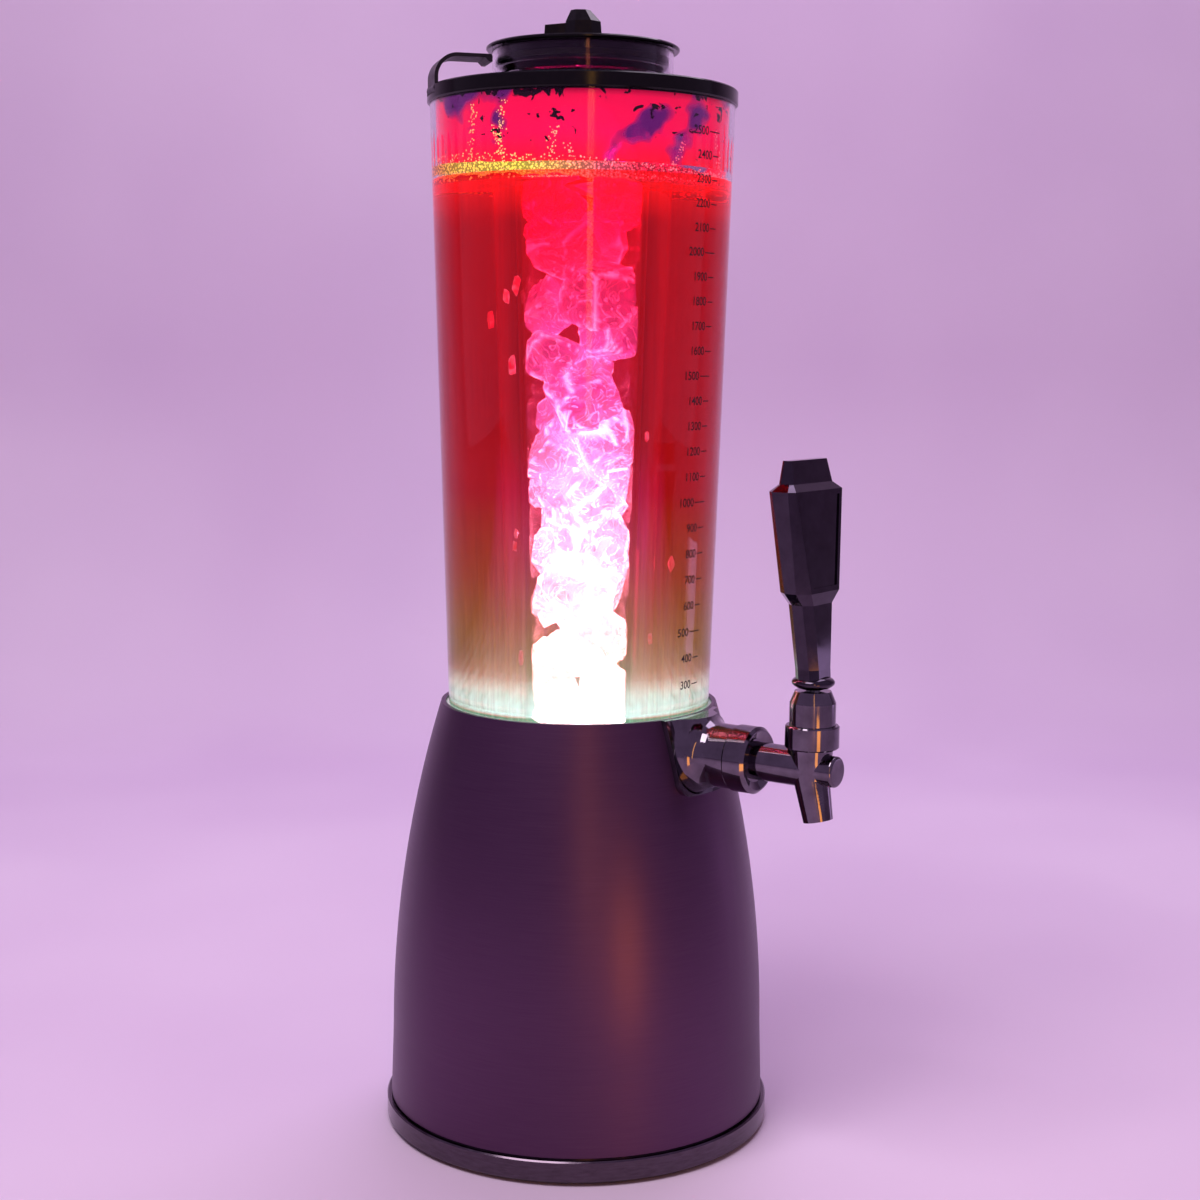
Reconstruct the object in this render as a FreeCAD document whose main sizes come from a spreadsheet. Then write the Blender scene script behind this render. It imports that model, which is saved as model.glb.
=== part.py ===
import FreeCAD, Part
import os
import re
import Sketcher
from FreeCAD import Placement, Rotation, Vector

# A table-top beer tower: a satin base shell on a foot ring carries a clear tapered
# jar with an ice tube down its middle, a lamp under its floor and a lever tap.
# +Z is up, the floor is z = 0 on the tower's axis, and the tap points along -Y.

SIZES = [
    # the foot and the base shell
    ("ringRadius", 89, "foot ring, outside radius"),
    ("ringTop", 12, "height of the ledge that the shell stands on"),
    ("ringBottom", 1.6, "underside of the foot ring above the floor"),
    ("ringGroove", 0.8, "depth of the shadow gap under the shell"),
    ("ringFlangeWidth", 9, "foot ring, width of the inside flange"),
    ("ringFlangeThick", 2, "foot ring, thickness of the inside flange"),
    ("ringWall", 3.8, "foot ring, thickness of the outside band"),
    ("spigotRise", 8, "height of the spigot inside the shell"),
    ("spigotWall", 1.7, "wall of the spigot"),
    ("edgeBreak", 0.6, "broken edge on turned parts"),
    ("shellInset", 2, "how far the shell's foot stands inside the foot ring's face"),
    ("beltInset", 1.1, "how far the shell draws in below its curve"),
    ("beltHeight", 45, "height where the shell's curve starts"),
    ("shellCurve", 533, "radius of the shell's side curve"),
    ("rimHeight", 196.6, "height of the shell's rim"),
    ("shellWall", 1.5, "base shell, wall"),
    ("lipThick", 1.4, "thickness of the turned-in rim"),
    ("lipWidth", 2, "width of the turned-in rim"),
    ("lipGap", 1.4, "gap between the jar and the turned-in rim"),
    ("footWidth", 9.6, "rubber foot, width"),
    ("footThick", 3, "rubber foot, thickness"),
    ("plateThick", 3, "base plate, thickness"),
    # the cradle under the jar
    ("cradleWall", 2.5, "jar cradle, wall"),
    ("cradleFloor", 4, "jar cradle, thickness of its lower flange"),
    ("cradleOpening", 40, "jar cradle, radius of the opening for the lamp"),
    ("cradleCollar", 5.2, "jar cradle, thickness of its upper collar"),
    ("legRadius", 5, "radius of a cradle leg"),
    ("legCircle", 60, "radius of the circle of legs"),
    ("legMargin", 1, "flange beyond the outside of a leg"),
    ("screwRadius", 1.5, "radius of a plate screw"),
    ("screwHead", 3.2, "radius of a plate screw's head"),
    ("screwHeadThick", 1.5, "thickness of a plate screw's head"),
    ("screwGrip", 12, "length of a plate screw inside its leg"),
    ("screwSpare", 1, "depth of a screw's hole beyond its tip"),
    ("padThick", 1.5, "rubber pad under the jar, thickness"),
    ("padWidth", 8, "rubber pad under the jar, width"),
    # the jar
    ("shoulderDrop", 1, "jar's shoulder below the shell's rim"),
    ("shoulderThick", 3.5, "thickness of the jar's shoulder"),
    ("shoulderRadius", 59.8, "jar, outside radius just above the shoulder"),
    ("shoulderStep", 5.8, "how far the sump draws in below the shoulder"),
    ("sumpDepth", 30.6, "depth of the sump below the jar's shoulder"),
    ("jarRadius", 67.7, "jar, outside radius at its mouth"),
    ("jarRise", 267.4, "height of the jar above its shoulder"),
    ("jarWall", 2.5, "jar, wall"),
    # the lid
    ("lidOverhang", 1.1, "how far the lid stands out over the jar"),
    ("lidBand", 6.5, "height of the lid's edge band"),
    ("lidRise", 10, "height of the lid's top above the jar's mouth"),
    ("lidWall", 2.4, "lid, thickness"),
    ("lidSkirt", 7, "depth of the lid's skirt inside the jar"),
    ("lidLedge", 1, "width of the flat round the neck"),
    ("skirtWall", 1.8, "wall of the lid's skirt"),
    ("tubeGap", 2.2, "gap between the ice tube and the lid's opening"),
    ("gasketThick", 1, "thickness of a flat rubber ring"),
    ("gasketInset", 1, "how far a flat rubber ring stays inside its seat"),
    ("beadHeight", 2.4, "height of a rubber sealing bead"),
    ("beadLift", 1.5, "height of a sealing bead above its skirt's foot"),
    ("beadRise", 0.6, "how far a sealing bead stands out of its skirt"),
    # the ice tube and its cap
    ("neckRadius", 40.2, "ice tube, outside radius of the neck"),
    ("neckHeight", 13.4, "height of the neck above the lid"),
    ("neckFloor", 2.4, "thickness of the neck's floor"),
    ("tubeWall", 2, "ice tube, wall"),
    ("tubeTop", 31, "ice tube, outside radius under the lid"),
    ("tubeFoot", 23.5, "ice tube, outside radius at its foot"),
    ("tubeFootRound", 2, "ice tube, rounding of its foot"),
    ("tubeClearance", 4.5, "ice tube's foot above the jar's floor"),
    ("capOverhang", 2.55, "how far the cap stands out over the neck"),
    ("capThick", 1.9, "cap, thickness at its edge"),
    ("capCrown", 1.2, "rise of the cap's crown"),
    ("capFlat", 19, "radius of the flat on the cap's crown"),
    ("capSkirt", 7.5, "depth of the cap's skirt"),
    ("capSkirtWall", 1.6, "wall of the cap's skirt"),
    ("knobRise", 14.7, "height of the cap's grip"),
    ("knobBevel", 5.1, "height of the grip's sloping top"),
    ("knobLength", 19, "length of the grip's block"),
    ("knobWidth", 17, "width of the grip's block"),
    ("knobLean", 1.2, "how far the grip's top sits towards the thumb piece"),
    ("knobArm", 17.4, "reach of the grip's thumb piece"),
    ("knobArmRise", 9.2, "height of the grip's thumb piece"),
    ("knobArmWidth", 9, "width of the grip's thumb piece"),
    ("knobAngle", 126, "direction of the thumb piece, degrees from +X"),
    # the clip beside the neck
    ("clipAngle", 141, "direction of the clip, degrees from +X"),
    ("clipWidth", 16, "width of the clip's strap"),
    ("clipThick", 1.6, "thickness of the clip's strap"),
    ("clipInset", 2.1, "clip's pin inside the lid's edge"),
    ("clipPinRise", 4.6, "clip's pin above the jar's mouth"),
    ("clipPinRadius", 0.8, "radius of the clip's pin"),
    ("clipPinReach", 2, "reach of the clip's pin into the lid at each end"),
    ("clipKnuckle", 1.9, "radius of the clip's knuckle"),
    ("clipOffset", 0.6, "offset of the strap from the knuckle's middle"),
    ("clipBend", 10.4, "outside radius of the clip's bend"),
    ("clipRise", 9.7, "height of the clip's upper face above the lid"),
    ("clipTipGap", 2.4, "gap between the clip's tip and the neck"),
    ("clipHook", 1.6, "depth of the clip's hooked tip"),
    # the lamp and its power
    ("lampGap", 0.6, "gap between the lamp housing and the cradle"),
    ("lampLap", 4, "lamp flange beyond the cradle's opening"),
    ("lampDepth", 19.5, "lamp housing, depth"),
    ("lampWall", 2, "lamp housing, wall"),
    ("lampFlangeThick", 3, "lamp housing, thickness of its flange"),
    ("lampLedge", 6, "height of the board's ledge inside the housing"),
    ("boardThick", 1.6, "lamp board, thickness"),
    ("diodeCount", 8, "light diodes in the ring"),
    ("diodeRadius", 2.5, "light diode, radius"),
    ("diodeRise", 2.4, "light diode, height of its straight part"),
    ("diodeCircle", 22, "radius of the ring of light diodes"),
    ("lensThick", 2, "lamp lens, thickness"),
    ("lensRim", 1.5, "lamp lens, width of its skirt"),
    ("lensRise", 1, "lamp lens above the cradle's foot"),
    ("leadRadius", 2, "lamp lead, radius"),
    ("leadOffset", 15, "lamp lead, distance from the tower's axis"),
    ("cellRadius", 7.1, "battery, radius"),
    ("cellLength", 50.2, "battery, length"),
    ("cellPitch", 15, "distance from battery to battery"),
    ("cellLift", 0.6, "batteries above the base plate"),
    ("cellTip", 1, "length of a battery's tip"),
    ("contactSpace", 3.4, "room for a contact at each end of a battery"),
    ("contactThick", 0.5, "thickness of a contact plate"),
    ("boxMargin", 1, "room beside the row of batteries"),
    ("boxWall", 2, "battery box, wall"),
    ("boxDepth", 18, "battery box, inside depth above the base plate"),
    ("doorThick", 2, "battery door, thickness"),
    ("doorMargin", 1.6, "door opening beyond the inside of the battery box"),
    ("doorHingeGap", 1, "gap beside the door's leaf on its hinge side"),
    ("barrelRadius", 1.5, "battery door, radius of its hinge barrel"),
    ("barrelHalf", 20, "battery door, half length of its hinge barrel"),
    ("doorPinRadius", 0.75, "battery door, radius of its hinge pin"),
    ("doorPinReach", 3.5, "battery door, reach of its hinge pin beyond the barrel"),
    ("buttonRadius", 7, "power button, radius"),
    ("buttonLap", 1.6, "power button, width of its flange"),
    ("buttonRim", 1.2, "power button, thickness of its flange"),
    ("buttonRecess", 0.2, "power button, depth inside the base plate"),
    ("buttonSpringRadius", 4, "button spring, mean radius"),
    ("buttonSpringWire", 0.3, "button spring, wire radius"),
    ("buttonSpringPitch", 1.2, "button spring, pitch"),
    ("switchWall", 2.1, "switch housing, wall"),
    ("switchCavity", 6, "switch housing, depth of its cavity"),
    ("switchRoof", 3, "switch housing, thickness of its roof"),
    # the tap's mounting
    ("tapDrop", 15.5, "tap's inlet axis below the jar's shoulder"),
    ("shankRadius", 7.8, "tap shank, outside radius"),
    ("shankBore", 5, "tap shank, bore radius"),
    ("shankSpare", 0.6, "tap shank, reach beyond the inner nut"),
    ("shankHead", 10.3, "tap shank, radius of its threaded head"),
    ("shankHeadLong", 4.6, "tap shank, length of its threaded head"),
    ("nutCorner", 12, "lock nut, radius over its corners"),
    ("nutThick", 6, "lock nut, thickness"),
    ("washerBack", 2.9, "lock washer, thickness at its middle"),
    ("barrelReach", 23.2, "reach of the flange's barrel beyond the shell's rim"),
    ("flangeBarrel", 14.1, "tap flange, radius of its barrel"),
    ("flangeHalf", 21.3, "tap flange, half width of its plate"),
    ("flangeThick", 2.5, "tap flange, thickness of its plate"),
    ("flangeDrop", 16.4, "tap flange's lower edge below the inlet axis"),
    ("flangeCorner", 5, "tap flange, radius of its lower corners"),
    ("flareCurve", 9, "tap flange, radius of its flare"),
    ("flareLength", 8.6, "length of the barrel between the flare and its end"),
    ("couplingRadius", 14.7, "coupling nut, outside radius"),
    ("couplingLong", 10.5, "coupling nut, length"),
    ("couplingRecess", 1.7, "coupling nut, depth of the recess in its face"),
    ("couplingBevel", 1.3, "coupling nut, bevel of its outer edge"),
    ("couplingSeam", 0.2, "gap between the coupling nut and the barrel"),
    ("sealThick", 1.2, "coupling seal, thickness"),
    ("inletFlange", 10.1, "tap body, radius of its inlet flange"),
    ("inletFlangeThick", 1.6, "tap body, thickness of its inlet flange"),
    ("inletRadius", 8.3, "tap body, radius of its inlet tube"),
    # the tap
    ("uprightReach", 36.2, "tap's upright axis beyond the flange's barrel"),
    ("bodyRadius", 8.55, "tap body, radius inside the bonnet"),
    ("bodyShoulder", 9.2, "tap body, radius below the bonnet"),
    ("bendRadius", 7.9, "tap body, radius at the spout's bend"),
    ("chamberRadius", 5.6, "tap body, radius of its chamber"),
    ("bodyRise", 17.1, "tap body's top above the inlet axis"),
    ("bendDrop", 4, "spout's bend below the inlet axis"),
    ("seatDrop", 6.5, "valve seat below the inlet axis"),
    ("seatRadius", 3.8, "radius of the valve seat's hole"),
    ("spoutTilt", 12, "lean of the spout, degrees"),
    ("spoutLength", 18.5, "length of the leaning spout"),
    ("spoutRadius", 6.4, "spout, outside radius at its tip"),
    ("spoutBore", 4.9, "spout, bore radius"),
    ("spoutBoreLong", 13, "spout, length of its straight bore"),
    ("plugRadius", 6.7, "front plug, radius"),
    ("plugSeatReach", 7.6, "front plug's seat beyond the upright's axis"),
    ("plugReach", 12.7, "front plug's face beyond the upright's axis"),
    ("plugTail", 4, "radius of the hole behind the front plug"),
    ("plugRound", 1.3, "rounding of the front plug's edge"),
    ("collarRadius", 11.6, "bonnet, radius of its collar"),
    ("collarRise", 9.1, "collar's lower edge above the inlet axis"),
    ("collarTall", 10, "bonnet, height of its collar"),
    ("bonnetRadius", 9.9, "bonnet, radius of its upper part"),
    ("bonnetTall", 24.6, "bonnet, height"),
    ("bonnetBevel", 5, "bonnet, height of its bevel"),
    ("bonnetTopRadius", 7.8, "bonnet, radius of its top"),
    ("springRoom", 6, "bonnet, radius of its spring room"),
    ("springRoofThick", 4.2, "bonnet, thickness of its roof"),
    ("stemRadius", 1.8, "plunger, radius of its lower stem"),
    ("rodRadius", 3, "plunger, radius of its upper rod"),
    ("pistonRadius", 5.3, "plunger, radius of its piston"),
    ("pistonRise", 8.1, "piston's underside above the inlet axis"),
    ("pistonThick", 5, "plunger, thickness of its piston"),
    ("pistonLip", 1.4, "plunger, width of the lands beside its ring"),
    ("ringSection", 1.1, "plunger ring, depth of its section"),
    ("ringPlay", 0.1, "plunger ring, play in its groove"),
    ("tongueHalf", 2, "plunger, half thickness of its tongue"),
    ("sealRadius", 5.2, "plunger seal, radius"),
    ("valveSealThick", 3, "plunger seal, thickness"),
    ("springWire", 0.45, "plunger spring, wire radius"),
    ("springMean", 4.3, "plunger spring, mean radius"),
    ("springPitch", 3.27, "plunger spring, pitch"),
    # the lever handle
    ("pivotRadius", 1.25, "radius of the lever's pin"),
    ("pivotInset", 8, "reach of the lever's pin on its blind side"),
    ("pivotRecess", 0.9, "lever's pin below the cam foot's side"),
    ("camRadius", 9.2, "lever, radius of its cam foot"),
    ("camHalf", 3.4, "lever, half height of its cam foot"),
    ("slotHalf", 2.3, "lever, half width of the slot for the tongue"),
    ("slotFront", 6.7, "lever, reach of the slot in front of the pin"),
    ("slotDeep", 1, "lever, depth of the slot below the cam foot"),
    ("leverLean", 3.8, "lean of the lever towards the tower, degrees"),
    ("neckRise", 6, "height of the lever's neck above its pin"),
    ("neckWide", 16, "lever, width above its foot"),
    ("neckDeep", 11.4, "lever, depth above its foot"),
    ("neckBevel", 3, "lever, bevel above its foot"),
    ("waistRise", 33.5, "height of the lever's waist above its pin"),
    ("waistWide", 22.8, "lever, width at its waist"),
    ("waistDeep", 12, "lever, depth at its waist"),
    ("waistBevel", 3.5, "lever, bevel at its waist"),
    ("heelRise", 38.8, "height of the paddle's lower end above the pin"),
    ("heelWide", 33.3, "paddle, width at its lower end"),
    ("heelDeep", 14.9, "paddle, depth at its lower end"),
    ("heelBevel", 4.7, "paddle, bevel at its lower end"),
    ("browRise", 81.3, "height of the paddle's widest line above the pin"),
    ("browWide", 44.5, "paddle, width at its widest line"),
    ("browDeep", 12.7, "paddle, depth at its widest line"),
    ("browBevel", 2.5, "paddle, bevel at its widest line"),
    ("crownRise", 84.2, "height where the paddle's crown starts above the pin"),
    ("crownWide", 35.6, "paddle, width of its crown"),
    ("crownDeep", 6.9, "paddle, depth of its crown"),
    ("crownBevel", 1.3, "paddle, bevel of its crown"),
    ("tipRise", 93.9, "height of the paddle's top above the pin"),
    ("tipWide", 32.2, "paddle, width at its top"),
    ("tipDeep", 4.3, "paddle, depth at its top"),
    ("panelBorder", 2.2, "border round the panel in the paddle's front"),
    ("panelDeep", 0.6, "depth of the panel in the paddle's front"),
    # clearances
    ("fitGap", 0.05, "radial gap between parts that are screwed or pressed"),
    ("runGap", 0.06, "radial gap of a sliding or turning fit"),
    ("looseGap", 0.3, "gap beside a part that lifts off or moves freely"),
]

# Heights and radii that several parts share, each worked out from the sizes.
PLACES = {
    "plateTop": "footThick + plateThick",
    "flangeTop": "plateTop + ringFlangeThick",
    "bandInside": "ringRadius - ringWall",
    "footOutside": "bandInside - 2 * looseGap",
    "shellRadius": "ringRadius - shellInset",
    "beltRadius": "shellRadius - beltInset",
    "lipRadius": "shoulderRadius + lipGap",
    "rimRadius": "lipRadius + lipWidth",
    "lipFoot": "rimHeight - lipThick",
    "shoulderHeight": "rimHeight - shoulderDrop",
    "sumpRadius": "shoulderRadius - shoulderStep",
    "jarBottom": "shoulderHeight - sumpDepth",
    "jarFloor": "jarBottom + jarWall",
    "jarHeight": "shoulderHeight + jarRise",
    "cradleShelf": "jarBottom - padThick",
    "cradleBottom": "cradleShelf - cradleFloor",
    "cradleReach": "legCircle + legRadius + legMargin",
    "mouthInside": "jarRadius - jarWall",
    "mouthTaper": "(jarRadius - shoulderRadius) * lidSkirt / jarRise",
    "beadOutside": "mouthInside - mouthTaper - looseGap",
    "skirtOutside": "beadOutside - beadRise",
    "skirtInside": "skirtOutside - skirtWall",
    "lidRadius": "jarRadius + lidOverhang",
    "lidTop": "jarHeight + lidRise",
    "lidHole": "tubeTop + tubeGap",
    "bandTop": "jarHeight + lidBand",
    "tubeEnd": "jarFloor + tubeClearance",
    "neckTop": "lidTop + neckHeight",
    "capRadius": "neckRadius + capOverhang",
    "capTop": "neckTop + capThick",
    "crownTop": "capTop + capCrown",
    "clipPinOut": "lidRadius - clipInset",
    "clipPinHeight": "jarHeight + clipPinRise",
    "clipTop": "lidTop + clipRise",
    "clipTip": "neckRadius + clipTipGap",
    "boxHalfX": "2 * cellPitch + boxMargin",
    "boxHalfY": "cellLength / 2 + contactSpace + contactThick",
    "boxTop": "plateTop + boxDepth",
    "doorHalfX": "boxHalfX + doorMargin",
    "doorHalfY": "boxHalfY + doorMargin",
    "hingeY": "doorHalfY + looseGap + barrelRadius",
    "hingeZ": "footThick + barrelRadius",
    "buttonFoot": "footThick + buttonRecess",
    "buttonFlange": "buttonRadius + buttonLap",
    "switchBore": "buttonFlange + looseGap",
    "switchRadius": "switchBore + switchWall",
    "switchY": "-(boxHalfY + boxWall + switchRadius)",
    "switchCeiling": "plateTop + switchCavity",
    "lampRadius": "cradleOpening - lampGap",
    "lampInside": "lampRadius - lampWall",
    "lampBottom": "cradleBottom - lampDepth",
    "boardFoot": "lampBottom + lampLedge",
    "boardTop": "boardFoot + boardThick",
    "lensTop": "cradleBottom + lensRise",
    "tapHeight": "shoulderHeight - tapDrop",
    "washerInside": "sumpRadius - jarWall - washerBack",
    "washerOutside": "sumpRadius - jarWall / 2 + washerBack",
    "shankInner": "washerInside - nutThick - shankSpare",
    "barrelEnd": "rimRadius + barrelReach",
    "flareStart": "barrelEnd - flareLength",
    "flangeFoot": "tapHeight - flangeDrop",
    "headEnd": "barrelEnd + shankHeadLong",
    "inletStart": "headEnd + sealThick",
    "inletEnd": "inletStart + inletFlangeThick",
    "couplingEnd": "barrelEnd + couplingLong",
    "tapReach": "barrelEnd + uprightReach",
    "plugSeat": "tapReach + plugSeatReach",
    "plugEnd": "tapReach + plugReach",
    "bendHeight": "tapHeight - bendDrop",
    "seatHeight": "tapHeight - seatDrop",
    "sealTop": "seatHeight + valveSealThick",
    "stemFoot": "seatHeight + valveSealThick / 2",
    "bodyTop": "tapHeight + bodyRise",
    "collarFoot": "tapHeight + collarRise",
    "collarTop": "collarFoot + collarTall",
    "bonnetTop": "collarFoot + bonnetTall",
    "springRoof": "bonnetTop - springRoofThick",
    "pistonFoot": "tapHeight + pistonRise",
    "pistonTop": "pistonFoot + pistonThick",
    "grooveFoot": "pistonFoot + pistonLip",
    "grooveTop": "pistonTop - pistonLip",
    "grooveFloor": "pistonRadius - ringSection",
    "pivotHeight": "bonnetTop + camHalf + looseGap",
}

doc = FreeCAD.newDocument("beer_tower")
sheet = doc.addObject("Spreadsheet::Sheet", "sizes")
for row, (alias, value, note) in enumerate(SIZES, 1):
    sheet.set("A%d" % row, note)
    sheet.set("B%d" % row, str(value))
    sheet.setAlias("B%d" % row, alias)
doc.recompute()
aliases = {alias for alias, value, note in SIZES}
partNames = []


def bound(formula):
    """The formula with its places worked out and each size written as a cell."""
    def cell(match):
        word = match.group()
        if word in PLACES:
            return "(%s)" % bound(PLACES[word])
        return "sizes." + word if word in aliases else word
    return re.sub(r"[A-Za-z]\w*", cell, formula)


def number(formula):
    """What the formula comes to now."""
    return float(sheet.evalExpression(bound(formula)))


def bind(thing, **formulas):
    """Ties properties of a document object to the sheet."""
    for name, formula in formulas.items():
        thing.setExpression(name.replace("_", "."), bound(formula))
    return thing


def placed(thing, x="0", y="0", z="0", axis=None, angle="0"):
    """Puts an object at a bound place, turned about an axis."""
    turn = Rotation(axis or Vector(0, 0, 1), number(angle))
    thing.Placement = Placement(Vector(number(x), number(y), number(z)), turn)
    bind(thing, Placement_Base_x=x, Placement_Base_y=y, Placement_Base_z=z)
    if angle not in ("0", "90", "-90"):
        bind(thing, Placement_Rotation_Angle=angle)
    return thing


OUTWARDS = dict(axis=Vector(1, 0, 0), angle="90")      # local +Z becomes -Y
SIDEWAYS = dict(axis=Vector(0, 1, 0), angle="90")      # local +Z becomes +X


def draw(sketch, corners):
    """Draws a closed outline. A corner is (x, y) or (x, y, radius): the radius
    makes the edge that arrives at the corner an arc, bulging to the right of
    the way for a positive radius and to the left for a negative one."""
    spots = [Vector(number(c[0]), number(c[1]), 0) for c in corners]
    ends = []
    for i, corner in enumerate(corners):
        start, end = spots[i - 1], spots[i]
        if len(corner) == 2:
            geo = sketch.addGeometry(Part.LineSegment(start, end), False)
            ends.append((geo, 1, 2))
            continue
        radius = number(corner[2])
        middle, chord = (start + end) * 0.5, end - start
        height = (radius ** 2 - chord.Length ** 2 / 4) ** 0.5
        left = Vector(-chord.y, chord.x, 0).normalize()
        centre = middle + left * (height if radius > 0 else -height)
        circle = Part.Circle(centre, Vector(0, 0, 1), abs(radius))
        first, last = (start, end) if radius > 0 else (end, start)
        arc = Part.ArcOfCircle(circle, circle.parameter(first), circle.parameter(last))
        geo = sketch.addGeometry(arc, False)
        ends.append((geo, 1, 2) if radius > 0 else (geo, 2, 1))
        size = sketch.addConstraint(Sketcher.Constraint("Radius", geo, abs(radius)))
        sketch.setExpression("Constraints[%d]" % size, bound("abs(%s)" % corner[2]))
    for i, corner in enumerate(corners):
        geo, start, end = ends[i]
        follower, first, last = ends[(i + 1) % len(ends)]
        sketch.addConstraint(Sketcher.Constraint("Coincident", geo, end, follower, first))
        for kind, axis, formula in (("DistanceX", -2, corner[0]), ("DistanceY", -1, corner[1])):
            if formula == "0":
                sketch.addConstraint(Sketcher.Constraint("PointOnObject", geo, end, axis))
                continue
            index = sketch.addConstraint(
                Sketcher.Constraint(kind, -1, 1, geo, end, number(formula)))
            sketch.setExpression("Constraints[%d]" % index, bound(formula))


def newBody(label, plane, corners):
    """A body with one sketch on one of its own planes."""
    body = doc.addObject("PartDesign::Body", label)
    sketch = body.newObject("Sketcher::SketchObject", label + "_outline")
    origin = [f for f in body.Origin.OriginFeatures if f.Role == plane][0]
    sketch.AttachmentSupport = [(origin, "")]
    sketch.MapMode = "FlatFace"
    draw(sketch, corners)
    return body, sketch


def turned(label, corners, **place):
    """A round part: its half section, (radius, height) corners, turned about Z."""
    body, sketch = newBody(label, "XZ_Plane", corners)
    turn = body.newObject("PartDesign::Revolution", label + "_turn")
    turn.Profile = sketch
    turn.ReferenceAxis = (sketch, ["V_Axis"])
    turn.Angle = 360
    return placed(body, **place)


def pressed(label, corners, width, **place):
    """A strip part: its side outline in the XZ plane, padded evenly to both sides."""
    body, sketch = newBody(label, "XZ_Plane", corners)
    pad = body.newObject("PartDesign::Pad", label + "_pad")
    pad.Profile = sketch
    pad.Midplane = True
    bind(pad, Length=width)
    return placed(body, **place)


def cylinder(label, radius, height, **place):
    return placed(bind(doc.addObject("Part::Cylinder", label), Radius=radius, Height=height), **place)


def box(label, length, width, height, **place):
    """A box that is centred on its place in X and Y and stands on it in Z."""
    brick = doc.addObject("Part::Box", label)
    bind(brick, Length=length, Width=width, Height=height)
    place["x"] = "%s - (%s) / 2" % (place.get("x", "0"), length)
    place["y"] = "%s - (%s) / 2" % (place.get("y", "0"), width)
    return placed(brick, **place)


def joined(label, *things):
    if len(things) == 1:
        return things[0]
    whole = doc.addObject("Part::MultiFuse", label)
    whole.Shapes = list(things)
    whole.Refine = True
    return whole


def cut(label, thing, *tools):
    rest = doc.addObject("Part::Cut", label)
    rest.Base = thing
    rest.Tool = joined(label + "_tools", *tools)
    return rest


def overlap(label, first, second):
    both = doc.addObject("Part::Common", label)
    both.Base = first
    both.Tool = second
    return both


def group(label, things):
    """Separate solids that are one kind of fastener or fitting."""
    several = doc.addObject("Part::Compound", label)
    several.Links = list(things)
    return several


def ring(label, inner, outer, bottom, top, **place):
    """A plain ring of rectangular section."""
    corners = [(inner, bottom), (outer, bottom), (outer, top), (inner, top)]
    return turned(label, corners, **place)


def part(name, thing):
    """Marks a finished object as the sub-part of that name."""
    thing.Label = name
    partNames.append((name, thing))
    return thing


def octagon(label, width, depth, bevel, height, **shift):
    """A flat eight-sided section at its own height."""
    sketch = doc.addObject("Sketcher::SketchObject", label)
    halfWide, halfDeep = "(%s) / 2" % width, "(%s) / 2" % depth
    inWide, inDeep = "(%s - %s)" % (halfWide, bevel), "(%s - %s)" % (halfDeep, bevel)
    draw(sketch, [(halfWide, "-" + inDeep), (halfWide, inDeep),
                  (inWide, halfDeep), ("-" + inWide, halfDeep),
                  ("-" + halfWide, inDeep), ("-" + halfWide, "-" + inDeep),
                  ("-" + inWide, "-" + halfDeep), (inWide, "-" + halfDeep)])
    return placed(sketch, z=height, **shift)


def lofted(label, sections):
    """A solid with flat sides through the sections."""
    skin = doc.addObject("Part::Loft", label)
    skin.Sections = sections
    skin.Solid = True
    skin.Ruled = True
    return skin


def coil(label, mean, wire, pitch, height, **place):
    """A compression spring standing on its place."""
    helix = bind(doc.addObject("Part::Helix", label + "_path"), Radius=mean, Pitch=pitch, Height=height)
    section = bind(doc.addObject("Part::Circle", label + "_wire"), Radius=wire)
    placed(section, x=mean, axis=Vector(1, 0, 0), angle="90")
    spring = doc.addObject("Part::Sweep", label)
    spring.Sections = [section]
    spring.Spine = (helix, ["Edge1"])
    spring.Solid = True
    spring.Frenet = True
    return placed(spring, **place)


def shellSide(extra):
    """The shell's outside as a half section, grown by a gap or a thickness."""
    return [("0", "ringTop"), ("shellRadius + %s" % extra, "ringTop"),
            ("beltRadius + %s" % extra, "beltHeight"),
            ("rimRadius + %s" % extra, "rimHeight", "shellCurve"),
            ("0", "rimHeight")]


# --- foot, base plate and shell ---
def makeFootRing():
    spigot = "(shellRadius - shellWall - looseGap)"
    part("foot_ring", turned("footRing", [
        ("bandInside", "ringBottom"), ("ringRadius - edgeBreak", "ringBottom"),
        ("ringRadius", "ringBottom + edgeBreak"), ("ringRadius", "ringTop - ringGroove - edgeBreak"),
        ("ringRadius - edgeBreak", "ringTop - ringGroove"),
        ("shellRadius - shellWall / 2", "ringTop - ringGroove"),
        ("shellRadius - shellWall / 2", "ringTop"), (spigot, "ringTop"),
        (spigot, "ringTop + spigotRise"), (spigot + " - spigotWall", "ringTop + spigotRise"),
        (spigot + " - spigotWall", "flangeTop"), ("bandInside - ringFlangeWidth", "flangeTop"),
        ("bandInside - ringFlangeWidth", "plateTop"), ("bandInside", "plateTop")]))
    part("rubber_foot", ring("rubberFoot", "footOutside - footWidth", "footOutside", "0", "footThick"))


def legPlaces():
    """The legs stand on the diagonals."""
    for name, signX, signY in (("A", "", ""), ("B", "-", ""), ("C", "-", "-"), ("D", "", "-")):
        yield name, signX + "legCircle * sqrt(0.5)", signY + "legCircle * sqrt(0.5)"


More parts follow.
